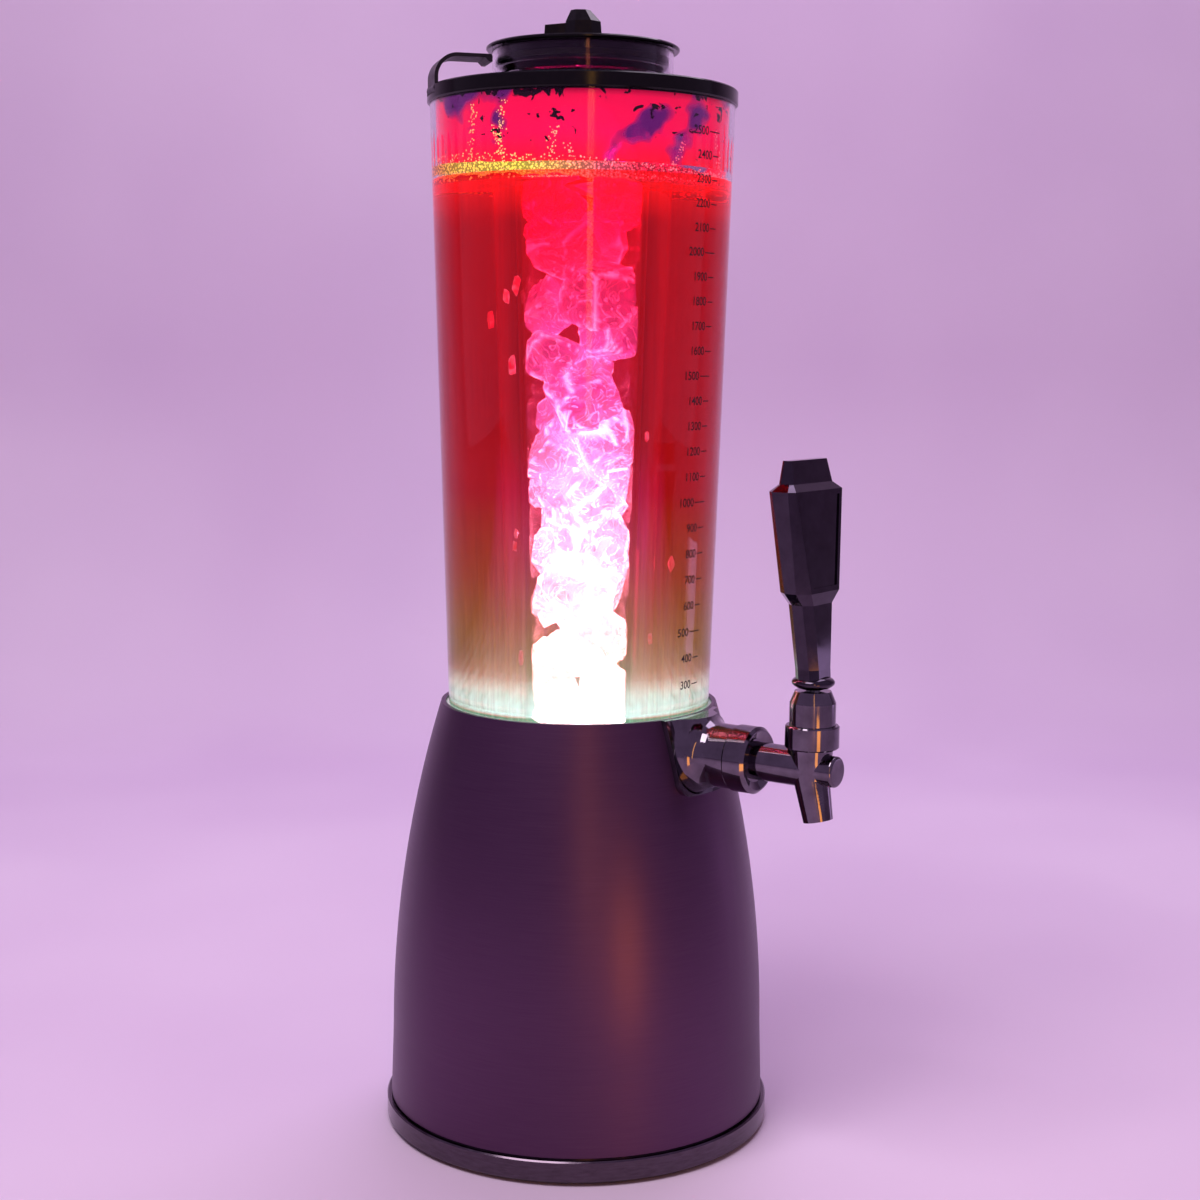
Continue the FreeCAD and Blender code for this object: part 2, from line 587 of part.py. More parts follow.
def makeBasePlate():
    plate = cylinder("plateDisc", "bandInside - looseGap", "plateThick", z="footThick")
    holes = [box("doorOpening", "2 * doorHalfX", "2 * doorHalfY", "plateThick", z="footThick"),
             box("hingeNotch", "2 * (barrelHalf + looseGap)", "4 * (looseGap + barrelRadius)",
                 "plateThick", y="doorHalfY", z="footThick"),
             cylinder("hingePinHole", "doorPinRadius + fitGap",
                      "2 * (barrelHalf + doorPinReach + looseGap)",
                      x="-(barrelHalf + doorPinReach + looseGap)", y="hingeY", z="hingeZ",
                      **SIDEWAYS),
             cylinder("buttonHole", "buttonRadius + looseGap", "plateThick",
                      y="switchY", z="footThick")]
    for name, x, y in legPlaces():
        holes.append(cylinder("plateHole" + name, "screwRadius + fitGap", "plateThick",
                              x=x, y=y, z="footThick"))
        holes.append(cylinder("plateSink" + name, "screwHead + fitGap", "screwHeadThick",
                              x=x, y=y, z="footThick"))
    part("base_plate", cut("basePlate", plate, *holes))


def makePlateScrews():
    screws = []
    for name, x, y in legPlaces():
        head = cylinder("screwHead" + name, "screwHead", "screwHeadThick", x=x, y=y, z="footThick")
        stem = cylinder("screwStem" + name, "screwRadius", "plateThick + screwGrip",
                        x=x, y=y, z="footThick")
        screws.append(joined("screw" + name, head, stem))
    part("plate_screws", group("plateScrews", screws))


def makeShell():
    skin = turned("shellSkin", [
        ("shellRadius - shellWall", "ringTop"), ("shellRadius", "ringTop"),
        ("beltRadius", "beltHeight"), ("rimRadius", "rimHeight", "shellCurve"),
        ("lipRadius", "rimHeight"), ("lipRadius", "lipFoot"), ("rimRadius - shellWall", "lipFoot"),
        ("beltRadius - shellWall", "beltHeight", "-shellCurve")])
    hole = cylinder("shellTapHole", "shankRadius + looseGap", "ringRadius", z="tapHeight", **OUTWARDS)
    part("base_shell", cut("baseShell", skin, hole))


def makeCradle():
    inside = "(sumpRadius + looseGap)"
    collar = "(rimRadius - shellWall - looseGap)"
    cup = turned("cradleCup", [
        ("cradleOpening", "cradleBottom"), ("cradleReach", "cradleBottom"),
        ("cradleReach", "cradleShelf"), (inside + " + cradleWall", "cradleShelf"),
        (inside + " + cradleWall", "lipFoot - cradleCollar"), (collar, "lipFoot - cradleCollar"),
        (collar, "lipFoot"), (inside, "lipFoot"),
        (inside, "cradleShelf"), ("cradleOpening", "cradleShelf")])
    legs = [cylinder("leg" + name, "legRadius", "cradleShelf - plateTop", x=x, y=y, z="plateTop")
            for name, x, y in legPlaces()]
    pilots = [cylinder("pilot" + name, "screwRadius + fitGap", "screwGrip + screwSpare",
                       x=x, y=y, z="plateTop")
              for name, x, y in legPlaces()]
    window = cylinder("cradleWindow", "nutCorner + looseGap", "ringRadius", z="tapHeight", **OUTWARDS)
    part("jar_cradle", cut("jarCradle", joined("cradleWhole", cup, *legs), window, *pilots))
    part("jar_pad", ring("jarPad", "cradleOpening", "cradleOpening + padWidth",
                         "cradleShelf", "jarBottom"))


# --- jar, lid, ice tube and cap ---
def makeJar():
    stepTop = "(shoulderHeight + shoulderThick)"
    vessel = turned("jarVessel", [
        ("0", "jarBottom"), ("sumpRadius", "jarBottom"), ("sumpRadius", "shoulderHeight"),
        ("shoulderRadius", "shoulderHeight"), ("jarRadius", "jarHeight"),
        ("mouthInside", "jarHeight"), ("shoulderRadius - jarWall", stepTop),
        ("sumpRadius - jarWall", stepTop), ("sumpRadius - jarWall", "jarFloor"), ("0", "jarFloor")])
    hole = cylinder("jarTapHole", "shankRadius + looseGap", "shoulderRadius", z="tapHeight", **OUTWARDS)
    part("jar", cut("jarDrilled", vessel, hole))


def makeLid():
    """The lid's edge band has a slot for the clip's knuckle."""
    seat = "(lidTop - gasketThick)"
    disc = turned("lidDisc", [
        ("skirtInside", "jarHeight - lidSkirt"), ("skirtOutside", "jarHeight - lidSkirt"),
        ("skirtOutside", "jarHeight"), ("lidRadius - edgeBreak", "jarHeight"),
        ("lidRadius", "jarHeight + edgeBreak"), ("lidRadius", "bandTop - edgeBreak"),
        ("lidRadius - edgeBreak", "bandTop"), ("neckRadius + lidLedge", "lidTop"),
        ("neckRadius + looseGap", "lidTop"), ("neckRadius + looseGap", seat),
        ("lidHole", seat), ("lidHole", seat + " - lidWall"),
        ("neckRadius", seat + " - lidWall"), ("skirtInside", "bandTop - lidWall")])
    slotWide = "clipWidth + 2 * looseGap"
    slot = box("clipSlot", "2 * (clipKnuckle + looseGap)", slotWide, "lidRise",
               x="clipPinOut", z="clipPinHeight")
    opening = box("clipSlotFront", "lidRadius", slotWide, "lidRise",
                  x="clipPinOut + lidRadius / 2", z="clipPinHeight - clipKnuckle - looseGap")
    end = cylinder("clipSlotEnd", "clipKnuckle + looseGap", slotWide,
                   x="clipPinOut", y="clipWidth / 2 + looseGap", z="clipPinHeight", **OUTWARDS)
    bore = cylinder("clipPinHole", "clipPinRadius + fitGap",
                    "clipWidth + 2 * (looseGap + clipPinReach)", x="clipPinOut",
                    y="clipWidth / 2 + looseGap + clipPinReach", z="clipPinHeight", **OUTWARDS)
    part("jar_lid", placed(cut("jarLid", disc, slot, opening, end, bore), angle="clipAngle"))
    part("lid_gasket", ring("lidGasket", "skirtOutside", "beadOutside",
                            "jarHeight - lidSkirt + beadLift",
                            "jarHeight - lidSkirt + beadLift + beadHeight"))


def makeIceTube():
    innerFloor = "(lidTop + neckFloor)"
    part("ice_tube", turned("iceTube", [
        ("0", "tubeEnd"), ("tubeFoot - tubeFootRound", "tubeEnd"),
        ("tubeFoot", "tubeEnd + tubeFootRound", "tubeFootRound"),
        ("tubeTop", "lidTop"), ("neckRadius", "lidTop"), ("neckRadius", "neckTop"),
        ("neckRadius - tubeWall", "neckTop"), ("neckRadius - tubeWall", innerFloor),
        ("tubeTop - tubeWall", innerFloor), ("tubeFoot - tubeWall", "tubeEnd + tubeWall"),
        ("0", "tubeEnd + tubeWall")]))
    part("tube_gasket", ring("tubeGasket", "lidHole + gasketInset", "neckRadius - gasketInset",
                             "lidTop - gasketThick", "lidTop"))


def makeCap():
    seal = "(neckRadius - tubeWall - looseGap)"
    skirt = "(neckRadius - tubeWall - looseGap - beadRise)"
    skirtFoot = "(neckTop - capSkirt)"
    part("cap", turned("capDisc", [
        ("0", "neckTop"), (skirt + " - capSkirtWall", "neckTop"),
        (skirt + " - capSkirtWall", skirtFoot), (skirt, skirtFoot),
        (skirt, "neckTop"), ("capRadius - edgeBreak", "neckTop"),
        ("capRadius", "neckTop + edgeBreak"), ("capRadius", "capTop - edgeBreak"),
        ("capRadius - edgeBreak", "capTop"), ("capFlat", "crownTop"), ("0", "crownTop")]))
    part("cap_seal", ring("capSeal", skirt, seal, skirtFoot + " + beadLift",
                          skirtFoot + " + beadLift + beadHeight"))


def makeKnob():
    """The grip: a bevelled block with a lower thumb piece to one side."""
    block = lofted("knobBlock", [
        octagon("knobFoot", "knobWidth", "knobLength", "knobWidth / 4", "crownTop"),
        octagon("knobSide", "knobWidth * 0.9", "knobLength * 0.9", "knobWidth / 4",
                "crownTop + knobRise - knobBevel"),
        octagon("knobTip", "knobWidth / 2", "knobLength / 2", "knobWidth / 8",
                "crownTop + knobRise", x="knobLean")])
    arm = pressed("knobThumb", [
        ("0", "crownTop"), ("knobArm", "crownTop"),
        ("knobArm - edgeBreak", "crownTop + knobArmRise - 2 * edgeBreak"),
        ("knobWidth / 4", "crownTop + knobArmRise"), ("0", "crownTop + knobArmRise")],
        "knobArmWidth")
    part("cap_knob", placed(joined("capKnob", block, arm), angle="knobAngle"))


def makeClip():
    """A strap that rises at the lid's edge and bends in towards the neck."""
    riser = "(clipPinOut + clipThick / 2 + clipOffset)"
    inner = "(%s - clipThick)" % riser
    foot = "(clipPinHeight + clipKnuckle / 2)"
    corner = "(clipTop - clipBend)"
    low = "(clipTop - clipThick)"
    strap = pressed("clipStrap", [
        (inner, foot), (riser, foot), (riser, corner),
        (riser + " - clipBend", "clipTop", "clipBend"), ("clipTip + edgeBreak", "clipTop"),
        ("clipTip", "clipTop - edgeBreak"), ("clipTip", low + " - clipHook"),
        ("clipTip + clipThick", low + " - clipHook"), ("clipTip + 2 * clipThick", low),
        (riser + " - clipBend", low), (inner, corner, "clipThick - clipBend")], "clipWidth")
    knuckle = cylinder("clipRoll", "clipKnuckle", "clipWidth",
                       x="clipPinOut", y="clipWidth / 2", z="clipPinHeight", **OUTWARDS)
    bore = cylinder("clipBore", "clipPinRadius + runGap", "clipWidth",
                    x="clipPinOut", y="clipWidth / 2", z="clipPinHeight", **OUTWARDS)
    clip = cut("tubeClip", joined("clipWhole", strap, knuckle), bore)
    part("tube_clip", placed(clip, angle="clipAngle"))
    pin = cylinder("clipPin", "clipPinRadius", "clipWidth + 2 * clipPinReach",
                   x="clipPinOut", y="clipWidth / 2 + clipPinReach", z="clipPinHeight", **OUTWARDS)
    part("clip_pin", placed(group("clipPinTurned", [pin]), angle="clipAngle"))


# --- lamp, battery box and switch ---
def makeLamp():
    part("lamp_housing", turned("lampHousing", [
        ("0", "lampBottom"), ("lampRadius", "lampBottom"),
        ("lampRadius", "cradleBottom - lampFlangeThick"),
        ("cradleOpening + lampLap", "cradleBottom - lampFlangeThick"),
        ("cradleOpening + lampLap", "cradleBottom"),
        ("lampInside", "cradleBottom"), ("lampInside", "boardFoot"),
        ("lampInside - lampWall", "boardFoot"),
        ("lampInside - lampWall", "lampBottom + lampWall"), ("0", "lampBottom + lampWall")]))
    part("lamp_board", ring("lampBoard", "0", "lampInside - looseGap", "boardFoot", "boardTop"))
    diodes = []
    ringCount = int(number("diodeCount"))
    for index in range(ringCount + 1):
        reach = "diodeCircle" if index else "0"
        turn = "(%d * 360 deg / diodeCount)" % index
        x = "%s * cos(%s)" % (reach, turn)
        y = "%s * sin(%s)" % (reach, turn)
        can = cylinder("diodeCan%d" % index, "diodeRadius", "diodeRise", x=x, y=y, z="boardTop")
        dome = bind(doc.addObject("Part::Sphere", "diodeDome%d" % index), Radius="diodeRadius")
        placed(dome, x=x, y=y, z="boardTop + diodeRise")
        diodes.append(joined("diode%d" % index, can, dome))
    part("diodes", group("diodeSet", diodes))
    rim = "(lampInside - looseGap)"
    part("lamp_lens", turned("lampLens", [
        (rim + " - lensRim", "boardTop"), (rim, "boardTop"), (rim, "lensTop"), ("0", "lensTop"),
        ("0", "lensTop - lensThick"), (rim + " - lensRim", "lensTop - lensThick")]))
    part("lamp_lead", cylinder("lampLead", "leadRadius", "lampBottom - boxTop",
                               x="leadOffset", z="boxTop"))


def makeBatteryBox():
    """An open-bottomed box on the base plate, with four cells across it."""
    shell = box("boxBlock", "2 * (boxHalfX + boxWall)", "2 * (boxHalfY + boxWall)",
                "boxDepth", z="plateTop")
    room = box("boxRoom", "2 * boxHalfX", "2 * boxHalfY", "boxDepth - boxWall", z="plateTop")
    part("battery_box", cut("batteryBox", shell, room))
    cells, contacts = [], []
    axisZ = "(plateTop + cellRadius + cellLift)"
    reach = "(contactSpace + contactThick)"
    for index in range(4):
        x = "(%d * cellPitch / 2)" % (2 * index - 3)
        case = cylinder("cell%d" % index, "cellRadius", "cellLength - cellTip",
                        x=x, y="cellLength / 2", z=axisZ, **OUTWARDS)
        knob = cylinder("cellTip%d" % index, "cellRadius * 0.4", "cellTip",
                        x=x, y="cellTip - cellLength / 2", z=axisZ, **OUTWARDS)
        cells.append(joined("cellWhole%d" % index, case, knob))
        plate = box("contactPlate%d" % index, "cellRadius * 1.4", "contactThick",
                    "cellRadius * 1.4", x=x, y="-(cellLength / 2 + contactThick / 2)",
                    z=axisZ + " - cellRadius * 0.7")
        post = box("contactPost%d" % index, "cellRadius * 0.8", reach, "cellRadius * 0.8",
                   x=x, y="-(cellLength / 2 + %s / 2)" % reach, z=axisZ + " - cellRadius * 0.4")
        cone = bind(doc.addObject("Part::Cone", "contactSpring%d" % index),
                    Radius1="cellRadius * 0.7", Radius2="cellRadius * 0.3", Height=reach)
        placed(cone, x=x, y="cellLength / 2 + " + reach, z=axisZ, **OUTWARDS)
        contacts += [joined("contactFlat%d" % index, plate, post), cone]
    part("batteries", group("cellSet", cells))
    part("battery_contacts", group("contactSet", contacts))


def makeDoor():
    """The leaf stays clear of the opening's edge as it swings down about its pin."""
    leafFront = "(doorHalfY - looseGap)"
    leafBack = "(doorHalfY - doorHingeGap)"
    leaf = box("doorLeaf", "2 * (doorHalfX - looseGap)", "%s + %s" % (leafFront, leafBack),
               "doorThick", y="(%s - %s) / 2" % (leafBack, leafFront), z="footThick")
    web = box("doorWeb", "2 * barrelHalf", "hingeY - %s + barrelRadius" % leafBack, "doorThick",
              y="(hingeY + %s - barrelRadius) / 2" % leafBack, z="footThick")
    barrel = cylinder("doorBarrel", "barrelRadius", "2 * barrelHalf",
                      x="-barrelHalf", y="hingeY", z="hingeZ", **SIDEWAYS)
    bore = cylinder("doorBore", "doorPinRadius + runGap", "2 * barrelHalf",
                    x="-barrelHalf", y="hingeY", z="hingeZ", **SIDEWAYS)
    part("battery_door", cut("batteryDoor", joined("doorWhole", leaf, barrel, web), bore))
    part("door_pin", cylinder("doorPin", "doorPinRadius", "2 * (barrelHalf + doorPinReach)",
                              x="-(barrelHalf + doorPinReach)", y="hingeY", z="hingeZ",
                              **SIDEWAYS))


def makeSwitch():
    seat = "(plateTop + buttonRim)"
    part("switch_housing", turned("switchHousing", [
        ("switchBore", "plateTop"), ("switchRadius", "plateTop"),
        ("switchRadius", "switchCeiling + switchRoof"), ("0", "switchCeiling + switchRoof"),
        ("0", "switchCeiling"), ("switchBore", "switchCeiling")], y="switchY"))
    part("power_button", turned("powerButton", [
        ("0", "buttonFoot"), ("buttonRadius - edgeBreak", "buttonFoot"),
        ("buttonRadius", "buttonFoot + edgeBreak"), ("buttonRadius", "plateTop"),
        ("buttonFlange", "plateTop"), ("buttonFlange", seat), ("0", seat)], y="switchY"))
    part("button_spring", coil("buttonSpring", "buttonSpringRadius", "buttonSpringWire",
                               "buttonSpringPitch",
                               "switchCeiling - %s - 2 * buttonSpringWire" % seat,
                               y="switchY", z=seat + " + buttonSpringWire"))


# --- tap mounting ---
def makeShank():
    part("tap_shank", turned("tapShank", [
        ("shankBore", "shankInner"), ("shankRadius", "shankInner"), ("shankRadius", "barrelEnd"),
        ("shankHead", "barrelEnd"), ("shankHead", "headEnd"), ("shankBore", "headEnd")],
        z="tapHeight", **OUTWARDS))


def hexNut(label, distance):
    """A lock nut on the shank, its inner face at that distance from the axis."""
    prism = doc.addObject("Part::Prism", label + "Prism")
    prism.Polygon = 6
    bind(prism, Circumradius="nutCorner", Height="nutThick")
    placed(prism, y="-(%s)" % distance, z="tapHeight", **OUTWARDS)
    bore = cylinder(label + "Bore", "shankRadius + fitGap", "nutThick",
                    y="-(%s)" % distance, z="tapHeight", **OUTWARDS)
    return cut(label, prism, bore)


def makeShankSeals():
    """Rubber washers shaped to the jar's wall, and the lock nuts that squeeze them."""
    hole = "shankRadius + fitGap"
    disc = "nutCorner - looseGap"
    inner = ring("washerIn", hole, disc, "washerInside", "sumpRadius", z="tapHeight", **OUTWARDS)
    inside = cylinder("jarInside", "sumpRadius - jarWall - fitGap", "rimHeight")
    outer = ring("washerOut", hole, disc, "sumpRadius - washerBack", "washerOutside",
                 z="tapHeight", **OUTWARDS)
    outside = cylinder("jarOutside", "sumpRadius + fitGap", "rimHeight")
    part("shank_washers", group("shankWashers", [
        overlap("washerInner", inner, inside), cut("washerOuter", outer, outside)]))
    part("shank_nuts", group("shankNuts", [
        hexNut("nutInner", "washerInside - nutThick"), hexNut("nutOuter", "washerOutside")]))


def flangeOutline(label, reach):
    """The flange's front outline: square at the shell's rim, rounded below."""
    return pressed(label, [
        ("flangeHalf", "rimHeight"), ("-flangeHalf", "rimHeight"),
        ("-flangeHalf", "flangeFoot + flangeCorner"),
        ("flangeCorner - flangeHalf", "flangeFoot", "flangeCorner"),
        ("flangeHalf - flangeCorner", "flangeFoot"),
        ("flangeHalf", "flangeFoot + flangeCorner", "flangeCorner")],
        reach, y="-(%s) / 2" % reach)


def makeFlange():
    """A plate shaped to the shell, flaring into the barrel round the shank."""
    skin = turned("flangeSkin", shellSide("flangeThick"))
    plate = overlap("flangePlate", flangeOutline("flangeFace", "ringRadius"), skin)
    flareEnd = "(flareStart - flareCurve * sin(60 deg))"
    flareWide = "(flangeBarrel + flareCurve * (1 - cos(60 deg)))"
    horn = turned("flangeHorn", [
        ("0", flareEnd + " - flareCurve"), (flareWide + " + flareCurve / 2", flareEnd + " - flareCurve"),
        (flareWide, flareEnd), ("flangeBarrel", "flareStart", "-flareCurve"),
        ("flangeBarrel", "barrelEnd - edgeBreak / 2"), ("flangeBarrel - edgeBreak / 2", "barrelEnd"),
        ("0", "barrelEnd")], z="tapHeight", **OUTWARDS)
    flare = overlap("flangeFlare", horn, flangeOutline("hornFace", "tapReach"))
    bed = turned("flangeBed", shellSide("fitGap"))
    bore = cylinder("flangeBore", "shankRadius + fitGap", "tapReach", z="tapHeight", **OUTWARDS)
    part("tap_flange", cut("tapFlange", joined("flangeWhole", plate, flare), bed, bore))


def makeCoupling():
    thread = "(shankHead + fitGap)"
    mouth = "(inletRadius + fitGap)"
    face = "(couplingEnd - couplingRecess)"
    start = "(barrelEnd + couplingSeam)"
    part("coupling_nut", turned("couplingNut", [
        (thread, start), ("couplingRadius - edgeBreak / 2", start),
        ("couplingRadius", start + " + edgeBreak / 2"), ("couplingRadius", "couplingEnd - couplingBevel"),
        ("couplingRadius - couplingBevel", "couplingEnd"),
        ("couplingRadius - couplingBevel - edgeBreak", "couplingEnd"),
        (mouth + " + 2 * edgeBreak", face), (mouth, face), (mouth, "inletEnd"), (thread, "inletEnd")],
        z="tapHeight", **OUTWARDS))
    part("coupling_seal", ring("couplingSeal", "shankBore", "inletFlange", "headEnd", "inletStart",
                               z="tapHeight", **OUTWARDS))


# --- tap ---
def spoutPoint(distance):
    """A point on the leaning spout's axis, that far below the bend."""
    return dict(y="-(tapReach + (%s) * sin(spoutTilt * 1 deg))" % distance,
                z="bendHeight - (%s) * cos(spoutTilt * 1 deg)" % distance)


def makeTapBody():
    upright = turned("bodyUpright", [
        ("0", "bendHeight"), ("bendRadius", "bendHeight"),
        ("bodyShoulder", "collarFoot - fitGap"), ("bodyRadius", "collarFoot - fitGap"),
        ("bodyRadius", "bodyTop"), ("0", "bodyTop")], y="-tapReach")
    inlet = cylinder("bodyInlet", "inletRadius", "tapReach - inletStart",
                     y="-inletStart", z="tapHeight", **OUTWARDS)
    flange = cylinder("bodyFlange", "inletFlange", "inletFlangeThick",
                      y="-inletStart", z="tapHeight", **OUTWARDS)
    boss = cylinder("bodyBoss", "plugRadius", "plugSeatReach",
                    y="-tapReach", z="tapHeight", **OUTWARDS)
    bend = placed(bind(doc.addObject("Part::Circle", "spoutBend"), Radius="bendRadius"),
                  y="-tapReach", z="bendHeight")
    tip = bind(doc.addObject("Part::Circle", "spoutTip"), Radius="spoutRadius")
    placed(tip, axis=Vector(1, 0, 0), angle="-spoutTilt", **spoutPoint("spoutLength"))
    spout = lofted("bodySpout", [bend, tip])
    chamber = cylinder("bodyChamber", "chamberRadius", "bodyTop - seatHeight",
                       y="-tapReach", z="seatHeight")
    water = cylinder("bodyWater", "shankBore", "tapReach - inletStart",
                     y="-inletStart", z="tapHeight", **OUTWARDS)
    seat = cylinder("bodySeat", "seatRadius", "spoutBoreLong / 2",
                    y="-tapReach", z="seatHeight - spoutBoreLong / 2")
    bore = cylinder("bodyBore", "spoutBore", "spoutBoreLong")
    placed(bore, axis=Vector(1, 0, 0), angle="-spoutTilt", **spoutPoint("spoutLength"))
    hole = cylinder("bodyPlugHole", "plugTail", "plugSeatReach",
                    y="-tapReach", z="tapHeight", **OUTWARDS)
    plugFace = cylinder("bodyPlugFace", "plugRadius + fitGap", "bodyRadius",
                        y="-plugSeat", z="tapHeight", **OUTWARDS)
    solid = joined("bodySolid", upright, inlet, flange, boss, spout)
    part("tap_body", cut("tapBody", solid, chamber, water, seat, bore, hole, plugFace))


def makePlug():
    tail = "(plugTail - fitGap)"
    tailEnd = "(tapReach + chamberRadius + looseGap)"
    part("front_plug", turned("frontPlug", [
        ("0", tailEnd), (tail, tailEnd), (tail, "plugSeat"), ("plugRadius", "plugSeat"),
        ("plugRadius", "plugEnd - plugRound"), ("plugRadius - plugRound", "plugEnd", "plugRound"),
        ("0", "plugEnd")], z="tapHeight", **OUTWARDS))


def makeBonnet():
    grip = "(bodyRadius + fitGap)"
    rodHole = "(rodRadius + runGap)"
    part("bonnet", turned("bonnetTurned", [
        (grip, "collarFoot"), ("collarRadius - edgeBreak", "collarFoot"),
        ("collarRadius", "collarFoot + edgeBreak"), ("collarRadius", "collarTop - edgeBreak"),
        ("collarRadius - edgeBreak", "collarTop"), ("bonnetRadius", "collarTop"),
        ("bonnetRadius", "bonnetTop - bonnetBevel"), ("bonnetTopRadius", "bonnetTop"),
        (rodHole, "bonnetTop"), (rodHole, "springRoof"),
        ("springRoom", "springRoof"), ("springRoom", "bodyTop"), (grip, "bodyTop")],
        y="-tapReach"))


def makePlunger():
    rod = turned("plungerRod", [
        ("0", "stemFoot"), ("stemRadius", "stemFoot"),
        ("stemRadius", "pistonFoot"), ("pistonRadius", "pistonFoot"), ("pistonRadius", "grooveFoot"),
        ("grooveFloor", "grooveFoot"), ("grooveFloor", "grooveTop"), ("pistonRadius", "grooveTop"),
        ("pistonRadius", "pistonTop"), ("rodRadius", "pistonTop"), ("rodRadius", "pivotHeight"),
        ("0", "pivotHeight")], y="-tapReach")
    eye = cylinder("plungerEye", "rodRadius", "2 * tongueHalf",
                   x="-tongueHalf", y="-tapReach", z="pivotHeight", **SIDEWAYS)
    flats = [box("plungerFlat" + side, "rodRadius", "3 * rodRadius", "2 * rodRadius + camHalf",
                 x=sign + "(tongueHalf + rodRadius / 2)", y="-tapReach",
                 z="bonnetTop - rodRadius / 2")
             for side, sign in (("Left", "-"), ("Right", ""))]
    eyeHole = cylinder("plungerEyeHole", "pivotRadius + fitGap", "4 * tongueHalf",
                       x="-2 * tongueHalf", y="-tapReach", z="pivotHeight", **SIDEWAYS)
    part("plunger", cut("tapPlunger", joined("plungerWhole", rod, eye), eyeHole, *flats))
    part("plunger_seal", turned("plungerSeal", [
        ("0", "seatHeight"), ("sealRadius - edgeBreak", "seatHeight"),
        ("sealRadius", "seatHeight + edgeBreak"), ("sealRadius", "sealTop"),
        ("stemRadius + fitGap", "sealTop"), ("stemRadius + fitGap", "stemFoot"),
        ("0", "stemFoot")], y="-tapReach"))
    part("plunger_ring", ring("plungerRing", "grooveFloor + fitGap", "chamberRadius - runGap",
                              "grooveFoot + ringPlay", "grooveTop - ringPlay", y="-tapReach"))
    part("plunger_spring", coil("plungerSpring", "springMean", "springWire", "springPitch",
                                "springRoof - pistonTop - 2 * springWire",
                                y="-tapReach", z="pistonTop + springWire"))


def leverSection(label, width, depth, bevel, rise):
    """A section of the lever that far above its pin, shifted by the lever's lean."""
    return octagon(label, width, depth, bevel, rise, y="(%s) * tan(leverLean * 1 deg)" % rise)


def panelEdge(label, rise):
    """The panel's plan at that height: inside the border, in through the front face."""
    share = "((%s) - heelRise) / (browRise - heelRise)" % rise
    half = "(heelWide / 2 - heelBevel + (browWide / 2 - browBevel - heelWide / 2 + heelBevel) * %s)" % share
    front = "(-heelDeep / 2 - (browDeep / 2 - heelDeep / 2) * %s)" % share
    side = "(%s - panelBorder)" % half
    sketch = doc.addObject("Sketcher::SketchObject", label)
    draw(sketch, [(side, front + " - panelDeep"), (side, front + " + panelDeep"),
                  ("-" + side, front + " + panelDeep"), ("-" + side, front + " - panelDeep")])
    return placed(sketch, y="(%s) * tan(leverLean * 1 deg)" % rise, z=rise)


def makeLever():
    """The cam foot rocks on the bonnet; the slot in it clears the plunger's tongue."""
    blade = lofted("leverBlade", [
        leverSection("leverRoot", "neckWide", "neckDeep", "neckBevel", "0"),
        leverSection("leverNeck", "neckWide", "neckDeep", "neckBevel", "neckRise"),
        leverSection("leverWaist", "waistWide", "waistDeep", "waistBevel", "waistRise"),
        leverSection("leverHeel", "heelWide", "heelDeep", "heelBevel", "heelRise"),
        leverSection("leverBrow", "browWide", "browDeep", "browBevel", "browRise"),
        leverSection("leverCrown", "crownWide", "crownDeep", "crownBevel", "crownRise"),
        leverSection("leverTip", "tipWide", "tipDeep", "crownBevel", "tipRise")])
    panel = lofted("leverPanel", [
        panelEdge("panelFoot", "heelRise + panelBorder"),
        panelEdge("panelHead", "browRise - panelBorder")])
    for piece in (blade, panel):
        placed(piece, y="-tapReach", z="pivotHeight")
    foot = bind(doc.addObject("Part::Ellipsoid", "leverFoot"),
                Radius1="camHalf", Radius2="camRadius", Radius3="camRadius")
    placed(foot, y="-tapReach", z="pivotHeight")
    room = "(rodRadius + looseGap + runGap)"
    slotFoot = "(pivotHeight - camHalf - slotDeep)"
    slots = [box("leverSlotUp", "2 * slotHalf", "2 * " + room, "camHalf + slotDeep + " + room,
                 y="-tapReach", z=slotFoot),
             box("leverSlotFront", "2 * slotHalf", "slotFront",
                 "camHalf + slotDeep + rodRadius / 2",
                 y="-tapReach - slotFront / 2", z=slotFoot)]
    hole = cylinder("leverPinHole", "pivotRadius + runGap", "pivotInset + camRadius",
                    x="-pivotInset", y="-tapReach", z="pivotHeight", **SIDEWAYS)
    part("tap_handle", cut("tapHandle", joined("leverWhole", blade, foot), panel, hole, *slots))
    part("lever_pin", cylinder("leverPin", "pivotRadius", "pivotInset + camRadius - pivotRecess",
                               x="looseGap - pivotInset", y="-tapReach", z="pivotHeight",
                               **SIDEWAYS))


makeFootRing()
makeBasePlate()
makePlateScrews()
makeShell()
makeCradle()
makeJar()
makeLid()
makeIceTube()
makeCap()
makeKnob()
makeClip()
makeLamp()
makeBatteryBox()
makeDoor()
makeSwitch()
makeShank()
makeShankSeals()
makeFlange()
makeCoupling()
makeTapBody()
makePlug()
makeBonnet()
makePlunger()
makeLever()
doc.recompute()

for thing in doc.Objects:
    if "Invalid" in thing.State or "Error" in thing.State:
        raise RuntimeError("%s did not build: %s" % (thing.Name, thing.State))
for name, thing in partNames:
    if thing.Shape.isNull() or not thing.Shape.isValid() or not thing.Shape.Solids:
        raise RuntimeError("%s has no valid solid" % name)

os.makedirs("parts", exist_ok=True)
for name, thing in partNames:
    thing.Shape.exportStep("parts/%s.step" % name)
    print("%-18s solids %2d  volume %10.1f mm3" % (name, len(thing.Shape.Solids), thing.Shape.Volume))
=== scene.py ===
import bmesh
import bpy
import math
import numpy as np
from mathutils import Matrix, Vector


